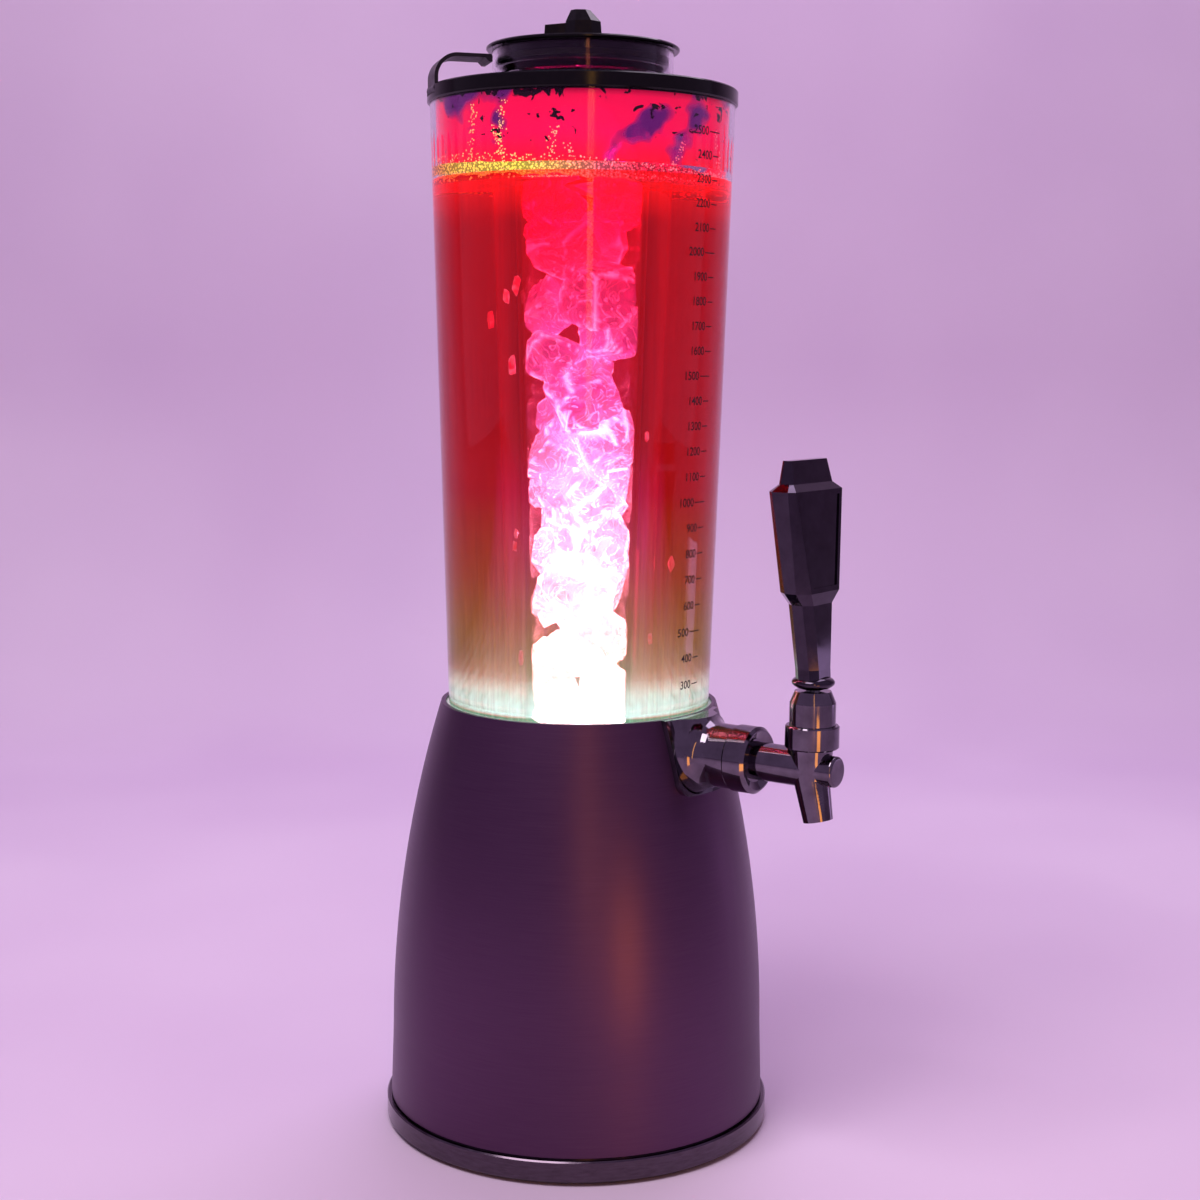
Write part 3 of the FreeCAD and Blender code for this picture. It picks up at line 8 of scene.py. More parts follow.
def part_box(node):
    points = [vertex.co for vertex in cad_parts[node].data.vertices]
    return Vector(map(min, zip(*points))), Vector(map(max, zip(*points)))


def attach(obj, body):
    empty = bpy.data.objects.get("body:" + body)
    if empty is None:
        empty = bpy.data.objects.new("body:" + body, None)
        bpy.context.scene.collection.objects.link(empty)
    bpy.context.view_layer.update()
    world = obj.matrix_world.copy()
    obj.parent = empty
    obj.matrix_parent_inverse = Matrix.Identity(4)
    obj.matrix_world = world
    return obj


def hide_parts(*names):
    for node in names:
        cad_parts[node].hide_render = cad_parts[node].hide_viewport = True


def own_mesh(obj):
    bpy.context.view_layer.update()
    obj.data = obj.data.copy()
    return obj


# A beer tower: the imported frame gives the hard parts, and this script adds the
# drink, the ice, the foam, the printed scale, all finishes, lights and camera.
# Lengths are in metres. Directions "right of the view" are degrees from the
# camera's side of the tower, counted anticlockwise from above.

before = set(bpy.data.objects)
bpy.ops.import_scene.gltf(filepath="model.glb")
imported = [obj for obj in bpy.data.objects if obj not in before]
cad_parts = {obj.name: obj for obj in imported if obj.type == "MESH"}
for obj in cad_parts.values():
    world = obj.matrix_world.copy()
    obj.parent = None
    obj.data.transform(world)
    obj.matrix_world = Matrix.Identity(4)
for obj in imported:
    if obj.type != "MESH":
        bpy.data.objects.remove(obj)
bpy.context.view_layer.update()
print("frame loaded:", len(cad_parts), "nodes")


def spot(node, edge, axis):
    # lowest (0) or highest (1) corner of a node along an axis
    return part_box(node)[edge][axis]


def linear(code):
    # sRGB hex text to linear red, green, blue, alpha
    parts = np.array([int(code[i:i + 2], 16) for i in (1, 3, 5)]) / 255
    low = parts / 12.92
    high = ((parts + 0.055) / 1.055) ** 2.4
    return (*np.where(parts <= 0.04045, low, high).tolist(), 1.0)


def addNode(tree, kind, settings=None, links=None):
    # settings name an input socket or a property, links name an input and its source
    node = tree.nodes.new(kind)
    for name, value in (settings or {}).items():
        if isinstance(name, int) or name in node.inputs:
            node.inputs[name].default_value = value
        else:
            setattr(node, name, value)
    for name, source in (links or {}).items():
        tree.links.new(source, node.inputs[name])
    return node


def newMaterial(name, settings):
    # a Principled surface with its settings, and its node tree
    material = bpy.data.materials.new(name)
    material.use_nodes = True
    tree = material.node_tree
    surface = tree.nodes["Principled BSDF"]
    for socket, value in settings.items():
        surface.inputs[socket].default_value = value
    return material, tree, surface


def objectSpot(tree, stretch=(1, 1, 1)):
    # the place on the object, stretched so that a pattern runs along an axis
    coordinates = addNode(tree, "ShaderNodeTexCoord")
    return addNode(tree, "ShaderNodeMapping", {"Scale": stretch},
                   {"Vector": coordinates.outputs["Object"]}).outputs["Vector"]


def setRamp(node, stops):
    # colour stops are (place, hex) or (place, grey number)
    ramp = node.color_ramp
    while len(ramp.elements) < len(stops):
        ramp.elements.new(1.0)
    for element, (place, colour) in zip(ramp.elements, stops):
        element.position = place
        element.color = linear(colour) if isinstance(colour, str) else (colour, colour, colour, 1)
    return node


noiseSpan = (0.3, 0.7)                        # most values of a noise lie between these


def noised(tree, scale, detail, stretch=(1, 1, 1), **more):
    # noise over the object: patterns to a metre, finer octaves, and stretch along an axis
    return addNode(tree, "ShaderNodeTexNoise", {"Scale": scale, "Detail": detail, **more},
                   {"Vector": objectSpot(tree, stretch)}).outputs[0]


def shaded(tree, colour, shade):
    # a colour times a grey value
    return addNode(tree, "ShaderNodeMix", {"data_type": "RGBA", "blend_type": "MULTIPLY", 0: 1.0},
                   {6: colour, 7: shade}).outputs[2]


def ranged(tree, source, lowFrom, highFrom, lowTo=0.0, highTo=1.0):
    # a value carried from one range to another, held at both ends
    return addNode(tree, "ShaderNodeMapRange", {1: lowFrom, 2: highFrom, 3: lowTo, 4: highTo},
                   {0: source}).outputs[0]


def ramped(tree, source, stops):
    # a value turned into a colour or a grey value
    return setRamp(addNode(tree, "ShaderNodeValToRGB", links={0: source}), stops).outputs[0]


def added(tree, first, second, **more):
    # the sum of two values
    return addNode(tree, "ShaderNodeMath", {"operation": "ADD", **more}, {0: first, 1: second}).outputs[0]


def heightShare(tree, low, high):
    # 0 at the lower height and 1 at the upper one, in metres
    split = addNode(tree, "ShaderNodeSeparateXYZ", links={0: objectSpot(tree)})
    return ranged(tree, split.outputs["Z"], low, high)


def bumped(tree, surface, height, strength, distance, **more):
    # relief from a pattern
    relief = addNode(tree, "ShaderNodeBump", {"Strength": strength, "Distance": distance, **more},
                     {"Height": height})
    tree.links.new(relief.outputs[0], surface.inputs["Normal"])


def meshPiece(name, points, faces, material, body, values=None):
    # a smooth mesh object with its place in its mesh, riding on a body
    mesh = bpy.data.meshes.new(name)
    mesh.from_pydata(np.asarray(points).tolist(), [], np.asarray(faces).tolist())
    mesh.materials.append(material)
    for label, numbers in (values or {}).items():
        mesh.attributes.new(label, "FLOAT", "POINT").data.foreach_set("value", numbers)
    work = bmesh.new()
    work.from_mesh(mesh)
    bmesh.ops.remove_doubles(work, verts=work.verts, dist=1e-6)
    bmesh.ops.recalc_face_normals(work, faces=work.faces)
    work.to_mesh(mesh)
    work.free()
    mesh.polygons.foreach_set("use_smooth", [True] * len(mesh.polygons))
    piece = bpy.data.objects.new(name, mesh)
    bpy.context.scene.collection.objects.link(piece)
    if body:
        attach(piece, body)
    return piece


def gridFaces(rows, columns, closeRows=False, closeColumns=True):
    # four-sided faces between neighbouring rows and columns of a grid of points
    row = np.arange(rows if closeRows else rows - 1)[:, None]
    column = np.arange(columns if closeColumns else columns - 1)[None, :]
    nextRow = (row + 1) % rows
    nextColumn = (column + 1) % columns
    corners = [row * columns + column, row * columns + nextColumn,
               nextRow * columns + nextColumn, nextRow * columns + column]
    return np.stack([c + 0 * corners[0] for c in corners], axis=-1).reshape(-1, 4)


def revolved(profile, columns=160, closed=False):
    # (radius, height) pairs carried round the Z axis: x = r cos a, y = r sin a
    radius, height = np.asarray(profile, float).T
    angle = np.linspace(0, 2 * np.pi, columns, endpoint=False)
    points = np.stack([radius[:, None] * np.cos(angle), radius[:, None] * np.sin(angle),
                       np.repeat(height[:, None], columns, axis=1)], axis=-1)
    return points.reshape(-1, 3), gridFaces(len(radius), columns, closeRows=closed)


# where the camera stands and its lens, and its turns in degrees
view = {"azimuth": -54, "distance": 0.868, "height": 0.356, "lens": 57.27,
        "yaw": 0.62, "pitch": 7.45, "roll": 0.45}


def around(angle, distance, height):
    # a place at that angle from the camera's side of the tower
    turn = math.radians(angle - 90 + view["azimuth"])
    return Vector((distance * math.cos(turn), distance * math.sin(turn), height))


rightward = np.array(around(90, 1, 0))        # unit vector to the right of the view


def makeCamera():
    data = bpy.data.cameras.new("camera")
    data.sensor_width = 36
    data.lens = view["lens"]
    data.clip_start = 0.01
    data.clip_end = 20
    camera = bpy.data.objects.new("camera", data)
    bpy.context.scene.collection.objects.link(camera)
    turns = (Matrix.Rotation(math.radians(view["azimuth"] - view["yaw"]), 4, "Z")
             @ Matrix.Rotation(math.radians(90 - view["pitch"]), 4, "X")
             @ Matrix.Rotation(math.radians(view["roll"]), 4, "Z"))
    camera.matrix_world = Matrix.Translation(around(0, view["distance"], view["height"])) @ turns
    bpy.context.scene.camera = camera


makeCamera()
print("camera set")


# shapes of the vessel, as far as the frame's boxes don't tell them
vessel = {"wall": 0.0025, "shoulder": 0.0598, "sump": 0.054, "shoulderHeight": 0.1956,
          "stepTop": 0.1991, "stepSlack": 0.0004, "tubeFoot": 0.0235, "tubeTop": 0.031,
          "tubeHigh": 0.473, "tubeRound": 0.002}
jarTop = spot("jar", 1, 2)
jarFoot = spot("jar", 0, 2)
jarMouth = spot("jar", 1, 0)                  # outside radius at the mouth
tubeLow = spot("ice_tube", 0, 2)
floorTop = jarFoot + vessel["wall"]


def jarOutside(height):
    # straight taper from the shoulder to the mouth
    share = (height - vessel["shoulderHeight"]) / (jarTop - vessel["shoulderHeight"])
    return vessel["shoulder"] + (jarMouth - vessel["shoulder"]) * share


def jarInside(height):
    # the inner wall's own taper above the step, the sump's radius below it
    share = (height - vessel["stepTop"]) / (jarTop - vessel["stepTop"])
    lowRadius = vessel["shoulder"] - vessel["wall"]
    tapered = lowRadius + (jarMouth - vessel["wall"] - lowRadius) * share
    return np.where(height < vessel["stepTop"] - vessel["stepSlack"],
                    vessel["sump"] - vessel["wall"], tapered)


def tubeOutside(height):
    # straight taper from the closed foot to the underside of the neck
    share = (height - tubeLow) / (vessel["tubeHigh"] - tubeLow)
    return vessel["tubeFoot"] + (vessel["tubeTop"] - vessel["tubeFoot"]) * share


# the drink, with its painted light colours from the lamp up
drink = {"level": 0.430, "wet": 0.0003, "gap": 0.00012, "meniscus": 0.0016, "reach": 0.0022,
         "lampHeight": 0.197, "absorbs": "#f4505c", "strength": 40.0,
         "sumpRows": 8, "rows": 60, "topRows": 24, "columns": 192, "streaks": (700, 700, 4),
         "paintedLightTints": [(0.0, "#90aca0"), (0.07, "#909a88"), (0.14, "#908e7c"), (0.28, "#a8949a"),
                   (0.45, "#dcb0c0"), (0.65, "#e8a4b0"), (0.8, "#ea7c8c"), (1.0, "#ee6470")],
         "paintedGlow": [(0.0, "#64a084"), (0.045, "#80a488"), (0.075, "#5c5c20"), (0.15, "#685610"),
                  (0.26, "#68380a"), (0.42, "#5c0c04"), (0.6, "#580101"), (0.92, "#5e0101"),
                  (1.0, "#b01008")]}


def makeDrinkMaterial():
    # a thin red drink with painted light from the lamp below: its tint and glow are painted
    # greenish near the lamp, brown, then red above, with fine upright streaks about 1 mm wide
    # in the painted glow. Its depth takes out green and blue.
    material, tree, surface = newMaterial("redDrink", {
        "Roughness": 0.0, "IOR": 1.333, "Transmission Weight": 1.0, "Emission Strength": 1.0})
    share = heightShare(tree, drink["lampHeight"], drink["level"])
    tree.links.new(ramped(tree, share, drink["paintedLightTints"]), surface.inputs["Base Color"])
    streaks = noised(tree, 1.0, 4.0, drink["streaks"], Roughness=0.7)
    # the painted glow, varied by the streaks
    paintedGlow = shaded(tree, ramped(tree, share, drink["paintedGlow"]), ranged(tree, streaks, *noiseSpan, 0.6, 1.25))
    tree.links.new(paintedGlow, surface.inputs["Emission Color"])
    depth = addNode(tree, "ShaderNodeVolumeAbsorption",
                    {"Color": linear(drink["absorbs"]), "Density": drink["strength"]})
    tree.links.new(depth.outputs[0], tree.nodes["Material Output"].inputs["Volume"])
    return material


def makeDrink():
    # one closed profile: up the jar's wall, which it wets, over the surface with a raised
    # edge at both walls, down the ice tube and under its foot
    wet, gap, level, rows = drink["wet"], drink["gap"], drink["level"], drink["rows"]
    sump = vessel["sump"] - vessel["wall"] + wet
    step = vessel["stepTop"] - wet
    outer = [(sump, z) for z in np.linspace(floorTop - wet, step, drink["sumpRows"])]
    outer += [(float(jarInside(z)) + wet, z) for z in np.linspace(step + 1e-5, level, rows)]
    wall, tube = float(jarInside(level)) + wet, tubeOutside(level) + gap
    share = np.linspace(0, 1, drink["topRows"] + 2)[1:-1]
    edge = sum(np.exp(-away * (wall - tube) / drink["reach"]) for away in (share, 1 - share))
    top = [(wall + (tube - wall) * s, level + drink["meniscus"] * (e - 1)) for s, e in zip(share, edge)]
    inner = [(tubeOutside(z) + gap, z) for z in np.linspace(level, tubeLow + vessel["tubeRound"], rows)]
    inner += [(vessel["tubeFoot"] - vessel["tubeRound"] + gap, tubeLow - gap), (0, tubeLow - gap)]
    points, faces = revolved([(0, floorTop - wet)] + outer + top + inner, drink["columns"])
    meshPiece("drink", points, faces, makeDrinkMaterial(), "base")


# the foam, with its painted light colours from left to right as seen from the camera
foam = {
    # edges below and above the drink's level, how far the top leans, the share the foot follows
    "low": -0.0030, "high": 0.0046, "lean": 0.0038, "follow": 0.3,
    "width": 0.0055, "wet": 0.0002, "bubble": 0.0010, "halfAcross": 0.062, "rows": 18, "columns": 720,
    # waves round the edge: height, how many, turn
    "waves": [(0.0006, 3, 1), (0.0003, 17, 0), (0.00025, 41, 2)], "pinch": 60,
    "cell": (0.1, 0.55, 1.5, 0.3),            # painted glow: brightness 1.5 inside a bubble, 0.3 at its edge
    "paintedGlowTones": [(0.0, "#e07838"), (0.08, "#f8cc58"), (0.3, "#fff05c"), (0.42, "#ffc070"),
              (0.56, "#ff6c80"), (0.7, "#ff2c50"), (1.0, "#ff2444")]}


def across(tree):
    # metres to the right of the tower's middle, as seen from the camera
    return addNode(tree, "ShaderNodeVectorMath", {"operation": "DOT_PRODUCT", 1: rightward.tolist()},
                   {0: objectSpot(tree)}).outputs["Value"]


def foamTone(tree, stops):
    # a painted light colour that changes from one side of the tower to the other, as seen from the camera
    return ramped(tree, ranged(tree, across(tree), -foam["halfAcross"], foam["halfAcross"]), stops)


def makeFoamMaterial():
    # fine wet bubbles with painted light: a painted gold glow where the light comes through
    # at one side, pink at the other, brighter inside each bubble than at its edge
    material, tree, surface = newMaterial("foam", {"Roughness": 0.35, "IOR": 1.33,
                                                   "Emission Strength": 1.1})
    cells = addNode(tree, "ShaderNodeTexVoronoi", {"Scale": 1 / foam["bubble"]},
                    {"Vector": objectSpot(tree)}).outputs["Distance"]
    lit = shaded(tree, foamTone(tree, foam["paintedGlowTones"]), ranged(tree, cells, *foam["cell"]))
    for socket in ("Base Color", "Emission Color"):
        tree.links.new(lit, surface.inputs[socket])
    bumped(tree, surface, cells, 0.8, 0.0006, invert=True)
    return material


def makeFoam():
    # a band round the wall, taller at one side, with a scalloped lower and upper edge:
    # height = middle + (half + a sum of sines of the angle) sin section
    rows, columns = foam["rows"], foam["columns"]
    turn = np.linspace(0, 2 * np.pi, columns, endpoint=False)
    wave = sum(high * np.sin(many * turn + start) for high, many, start in foam["waves"])
    lean = -foam["lean"] * (np.cos(turn) * rightward[0] + np.sin(turn) * rightward[1])
    section = np.linspace(0, 2 * np.pi, rows, endpoint=False)
    top, foot = foam["high"] + lean, foam["low"] + lean * foam["follow"]
    middle, half = (top + foot) / 2, (top - foot) / 2
    height = drink["level"] + middle + (half + wave)[None, :] * np.sin(section)[:, None]
    radius = (jarInside(height) + foam["wet"]
              - foam["width"] / 2 * (1 - np.cos(section)[:, None]) * (1 + foam["pinch"] * wave[None, :]))
    points = np.stack([radius * np.cos(turn), radius * np.sin(turn), height], axis=-1).reshape(-1, 3)
    meshPiece("foam", points, gridFaces(rows, columns, closeRows=True), makeFoamMaterial(), "base")


# the film left on the wall above the foam: ranges are from, from, to, to
film = {"low": 0.4335, "high": 0.4625, "gap": 0.00005, "thick": 0.00015, "rows": 24, "columns": 192,
        # painted glow colours of the film by height, the painted mauve glow of bare patches, and the
        # colour of the dark patches
        "paintedGlowTones": [(0.0, "#e8102e"), (0.4, "#ea0c50"), (0.9, "#e60a4a"), (1.0, "#b00838")],
        "bareGlow": "#6c1c74", "darkSpot": "#120106", "patches": 42.0, "specks": 150.0,
        "aside": (0.034, 0.05, 0.0, 0.07), "bare": (0.595, 0.66), "thin": (0.0, 1.0, 0.85, 0.5),
        "upper": (0.45, 1.0, 0.0, 0.13), "dark": (0.675, 0.69)}


def makeFilmMaterial():
    # a wet film with a painted red glow, broken by bare patches with a painted mauve glow,
    # more of them towards the sides as seen from the camera, and by dark patches that grow towards the lid
    material, tree, surface = newMaterial("wetFilm", {"Roughness": 0.15, "IOR": 1.33,
                                                      "Emission Strength": 0.8})
    share = heightShare(tree, film["low"], film["high"])
    sideways = addNode(tree, "ShaderNodeMath", {"operation": "ABSOLUTE"}, {0: across(tree)}).outputs[0]
    loose = added(tree, noised(tree, film["patches"], 2.0), ranged(tree, sideways, *film["aside"]))
    bare = ranged(tree, loose, *film["bare"])
    darkSpots = added(tree, noised(tree, film["specks"], 4.0, (1, 1, 1.2), Distortion=0.6),
                  ranged(tree, share, *film["upper"]))
    dark = ranged(tree, darkSpots, *film["dark"])
    bareGlowMixed = addNode(tree, "ShaderNodeMix", {"data_type": "RGBA", 7: linear(film["bareGlow"])},
                     {0: bare, 6: ramped(tree, share, film["paintedGlowTones"])})
    mixed = addNode(tree, "ShaderNodeMix", {"data_type": "RGBA", 7: linear(film["darkSpot"])},
                    {0: dark, 6: bareGlowMixed.outputs[2]})
    for socket in ("Base Color", "Emission Color"):
        tree.links.new(mixed.outputs[2], surface.inputs[socket])
    alpha = addNode(tree, "ShaderNodeMath", {"operation": "MAXIMUM"},
                    {0: ranged(tree, bare, *film["thin"]), 1: dark})
    tree.links.new(alpha.outputs[0], surface.inputs["Alpha"])
    return material


def makeFilm():
    # a thin closed sleeve just inside the jar's wall
    heights = np.linspace(film["low"], film["high"], film["rows"])
    outer = [(float(jarInside(z)) - film["gap"], z) for z in heights]
    inner = [(radius - film["thick"], z) for radius, z in outer[::-1]]
    points, faces = revolved(outer + inner, film["columns"], closed=True)
    meshPiece("wetFilm", points, faces, makeFilmMaterial(), "base")


# the ice in the tube
ice = {
    # how many large and small lumps, the heights between which they lie, their sizes
    "large": 30, "small": 26, "low": 0.1765, "high": 0.468, "size": (0.0118, 0.0150),
    "smallSize": (0.0055, 0.0085), "seed": 11, "rows": 30, "columns": 44,
    # turn between lumps, share of a lump that may pass the wall before it is cut flat
    "turn": 2.6, "smallStart": 1.3, "press": 0.72, "clear": 0.0004, "floor": 0.0003, "edge": 0.05,
    # random share of a place, random turn, share of the way to the wall, planes and slanted planes
    "stray": 0.2, "swing": 0.5, "out": (0.85, 1.0), "planes": (0.62, 1.0), "slants": (0.85, 1.2),
    # sizes of the frost and the cracks, painted dulling of the glow by the frost, painted glint gain on
    # cracked edges, and the ice's own colour
    "frost": 190.0, "cracks": 95.0, "dull": (0.4, 0.66, 0.08, 1.1), "shine": 6.0, "base": "#efe6f6",
    # painted glow colours of the faces and painted glint colours of the cracked edges, and the strength of
    # their painted light, from the lamp up; then the crack lines and the overall strength of the painted
    # light
    "face": [(0.0, "#f0fcff"), (0.3, "#e8f4ff"), (0.42, "#e4d4ff"), (0.52, "#d088ff"), (0.6, "#b03cf4"),
             (0.7, "#a01cdc"), (0.8, "#b010c0"), (0.88, "#f00a94"), (1.0, "#ff0468")],
    "edgeGlint": [(0.0, "#ffffff"), (0.5, "#ffffff"), (0.64, "#f4e4ff"), (0.82, "#f0b8ff"), (0.9, "#ff48a8"),
              (1.0, "#ff1878")],
    "power": [(0.0, 1.2), (0.14, 0.9), (0.28, 0.46), (0.42, 0.24), (0.52, 0.14), (0.66, 0.095),
              (0.8, 0.07), (0.9, 0.085), (1.0, 0.085)],
    "vein": [(0.0, 0.0), (0.482, 0.0), (0.5, 0.8), (0.518, 0.0), (1.0, 0.0)], "light": 12.0}


def makeIceMaterial():
    # clear ice with painted light from the lamp below: a painted glow white at the foot, lilac, pink,
    # then red above. Cracked edges get a painted glint, so they shine brighter than the flat faces.
    material, tree, surface = newMaterial("ice", {
        "Base Color": linear(ice["base"]), "Roughness": 0.22, "IOR": 1.31, "Transmission Weight": 0.35})
    share = heightShare(tree, drink["lampHeight"], drink["level"])
    frost = noised(tree, ice["frost"], 6.0, Roughness=0.65, Distortion=1.2)
    vein = ramped(tree, noised(tree, ice["cracks"], 4.0, Distortion=2.4), ice["vein"])
    edge = addNode(tree, "ShaderNodeAttribute", {"attribute_name": "edge"}).outputs["Fac"]
    lines = added(tree, edge, vein, use_clamp=True)
    colour = addNode(tree, "ShaderNodeMix", {"data_type": "RGBA"},
                     {0: lines, 6: ramped(tree, share, ice["face"]), 7: ramped(tree, share, ice["edgeGlint"])})
    gain = addNode(tree, "ShaderNodeMath", {"operation": "MULTIPLY_ADD", 1: ice["shine"]},
                   {0: lines, 2: ranged(tree, frost, *ice["dull"])})
    strength = addNode(tree, "ShaderNodeMath", {"operation": "MULTIPLY"},
                       {0: gain.outputs[0], 1: ramped(tree, share, ice["power"])})
    scaled = addNode(tree, "ShaderNodeMath", {"operation": "MULTIPLY", 1: ice["light"]},
                     {0: strength.outputs[0]})
    tree.links.new(colour.outputs[2], surface.inputs["Emission Color"])
    tree.links.new(scaled.outputs[0], surface.inputs["Emission Strength"])
    bumped(tree, surface, frost, 0.7, 0.0008)
    return material


def iceChunk(rng, size):
    # a lump cut by flat planes: along each direction u the surface lies at the
    # smallest of plane distance / (plane normal . u); "edge" is 1 where two meet
    rows, columns = ice["rows"], ice["columns"]
    polar = np.linspace(0, np.pi, rows)[:, None]
    turn = np.linspace(0, 2 * np.pi, columns, endpoint=False)[None, :]
    way = np.stack([np.sin(polar) * np.cos(turn), np.sin(polar) * np.sin(turn),
                    np.cos(polar) + 0 * turn], axis=-1)
    normals = np.vstack([np.eye(3), -np.eye(3), rng.normal(size=(6, 3))])
    normals /= np.linalg.norm(normals, axis=1)[:, None]
    distances = np.concatenate([rng.uniform(*ice["planes"], 6), rng.uniform(*ice["slants"], 6)])
    facing = np.einsum("rcx,nx->rcn", way, normals)
    reach = np.sort(np.where(facing > 1e-3, distances / np.maximum(facing, 1e-3), 9), axis=-1)
    edge = np.exp(-((reach[..., 1] - reach[..., 0]) / ice["edge"]) ** 2)
    spin, _ = np.linalg.qr(rng.normal(size=(3, 3)))
    return size * (way * reach[..., :1]).reshape(-1, 3) @ spin.T, edge.ravel()


def makeIce():
    # lumps piled up the tube: large ones on alternate sides, small ones between them
    rng = np.random.default_rng(ice["seed"])
    points, faces, edges = [], [], []
    chunkFaces = gridFaces(ice["rows"], ice["columns"])
    for count, sizes, start in ((ice["large"], ice["size"], 0.0),
                                (ice["small"], ice["smallSize"], ice["smallStart"])):
        for index in range(count):
            share = (index + rng.uniform(-ice["stray"], ice["stray"])) / (count - 1)
            size = rng.uniform(*sizes)
            room = ice["high"] - ice["low"] - 2 * size
            height = ice["low"] + size + room * np.clip(share, 0, 1)
            turn = start + index * ice["turn"] + rng.uniform(-ice["swing"], ice["swing"])
            wall = tubeOutside(height) - vessel["wall"]
            reach = max(wall - size * ice["press"], 0) * rng.uniform(*ice["out"])
            lump, edge = iceChunk(rng, size)
            lump = lump + np.array([reach * np.cos(turn), reach * np.sin(turn), height])
            limit = tubeOutside(lump[:, 2]) - vessel["wall"] - ice["clear"]
            away = np.maximum(np.hypot(lump[:, 0], lump[:, 1]), 1e-6)
            lump[:, :2] *= np.minimum(1, limit / away)[:, None]
            lump[:, 2] = np.maximum(lump[:, 2], tubeLow + vessel["wall"] + ice["floor"])
            faces.append(chunkFaces + len(points) * ice["rows"] * ice["columns"])
            points.append(lump)
            edges.append(edge)
    meshPiece("ice", np.concatenate(points), np.concatenate(faces), makeIceMaterial(), "ice_tube",
              values={"edge": np.concatenate(edges)})


# chips of ice in the drink
chips = {
    # degrees right of the view, radius, height, size: each a shard caught beside the tube
    "places": [(-47, 0.0325, 0.3840, 0.0026), (-55, 0.0335, 0.3790, 0.0020), (-52, 0.0320, 0.3490, 0.0026),
               (50, 0.0320, 0.3190, 0.0013), (-50, 0.0310, 0.2760, 0.0013), (-51, 0.0310, 0.2705, 0.0015),
               (-40, 0.0350, 0.2210, 0.0018), (52, 0.0340, 0.2290, 0.0014), (160, 0.0330, 0.3300, 0.0022),
               (115, 0.0325, 0.2600, 0.0018), (-120, 0.0330, 0.3700, 0.0022)],
    # the chips' own colour, and the pattern and colours of their painted glow
    "seed": 5, "sharp": (0.7, 0.5, 1.6), "base": "#f4e4fa", "pattern": 500.0,
    "paintedGlowTones": [(0.4, "#ff2068"), (0.62, "#ffc0f0")]}


def makeChips():
    # small lumps drawn out along the height, under the drink's surface
    rng = np.random.default_rng(chips["seed"])
    points, faces = [], []
    for angle, radius, height, size in chips["places"]:
        lump, _ = iceChunk(rng, 1.0)
        lump = lump * np.array(chips["sharp"]) * size + np.array(around(angle, radius, height))
        faces.append(gridFaces(ice["rows"], ice["columns"]) + len(points) * ice["rows"] * ice["columns"])
        points.append(lump)
    # the chips glow with painted light in pink and white patches
    material, tree, surface = newMaterial("iceChip", {
        "Base Color": linear(chips["base"]), "Roughness": 0.15, "IOR": 1.31, "Emission Strength": 0.9})
    tone = ramped(tree, noised(tree, chips["pattern"], 4.0), chips["paintedGlowTones"])
    tree.links.new(tone, surface.inputs["Emission Color"])
    meshPiece("iceChips", np.concatenate(points), np.concatenate(faces), material, "base")


# bubbles left on the wall
bubbles = {"rim": 1500, "small": 0.00018, "large": 0.0005, "seed": 3, "rings": 5, "sides": 8,
           "above": 1.15, "spread": 0.9, "sunk": 0.6, "base": "#ff9aa0", "pattern": 800.0,
           # the painted glow colours, from one side of the view to the other
           "paintedGlowTones": [(0.0, "#ff9868"), (0.12, "#ffd070"), (0.3, "#fff080"), (0.45, "#ffc098"),
                     (0.6, "#ff88a0"), (1.0, "#ff6078")],
           # degrees right of the view at the foot and top, rise above the foam, how many
           "chains": [(-46, -44, 0.0205, 46), (-33, -30, 0.022, 60), (-31, -35, 0.012, 30),
                      (-12, -10, 0.0125, 34), (-4, -6, 0.006, 16), (36, 41, 0.012, 26),
                      (64, 60, 0.018, 34), (110, 113, 0.02, 40), (150, 147, 0.016, 34),
                      (-150, -155, 0.02, 40), (-100, -96, 0.015, 34)]}


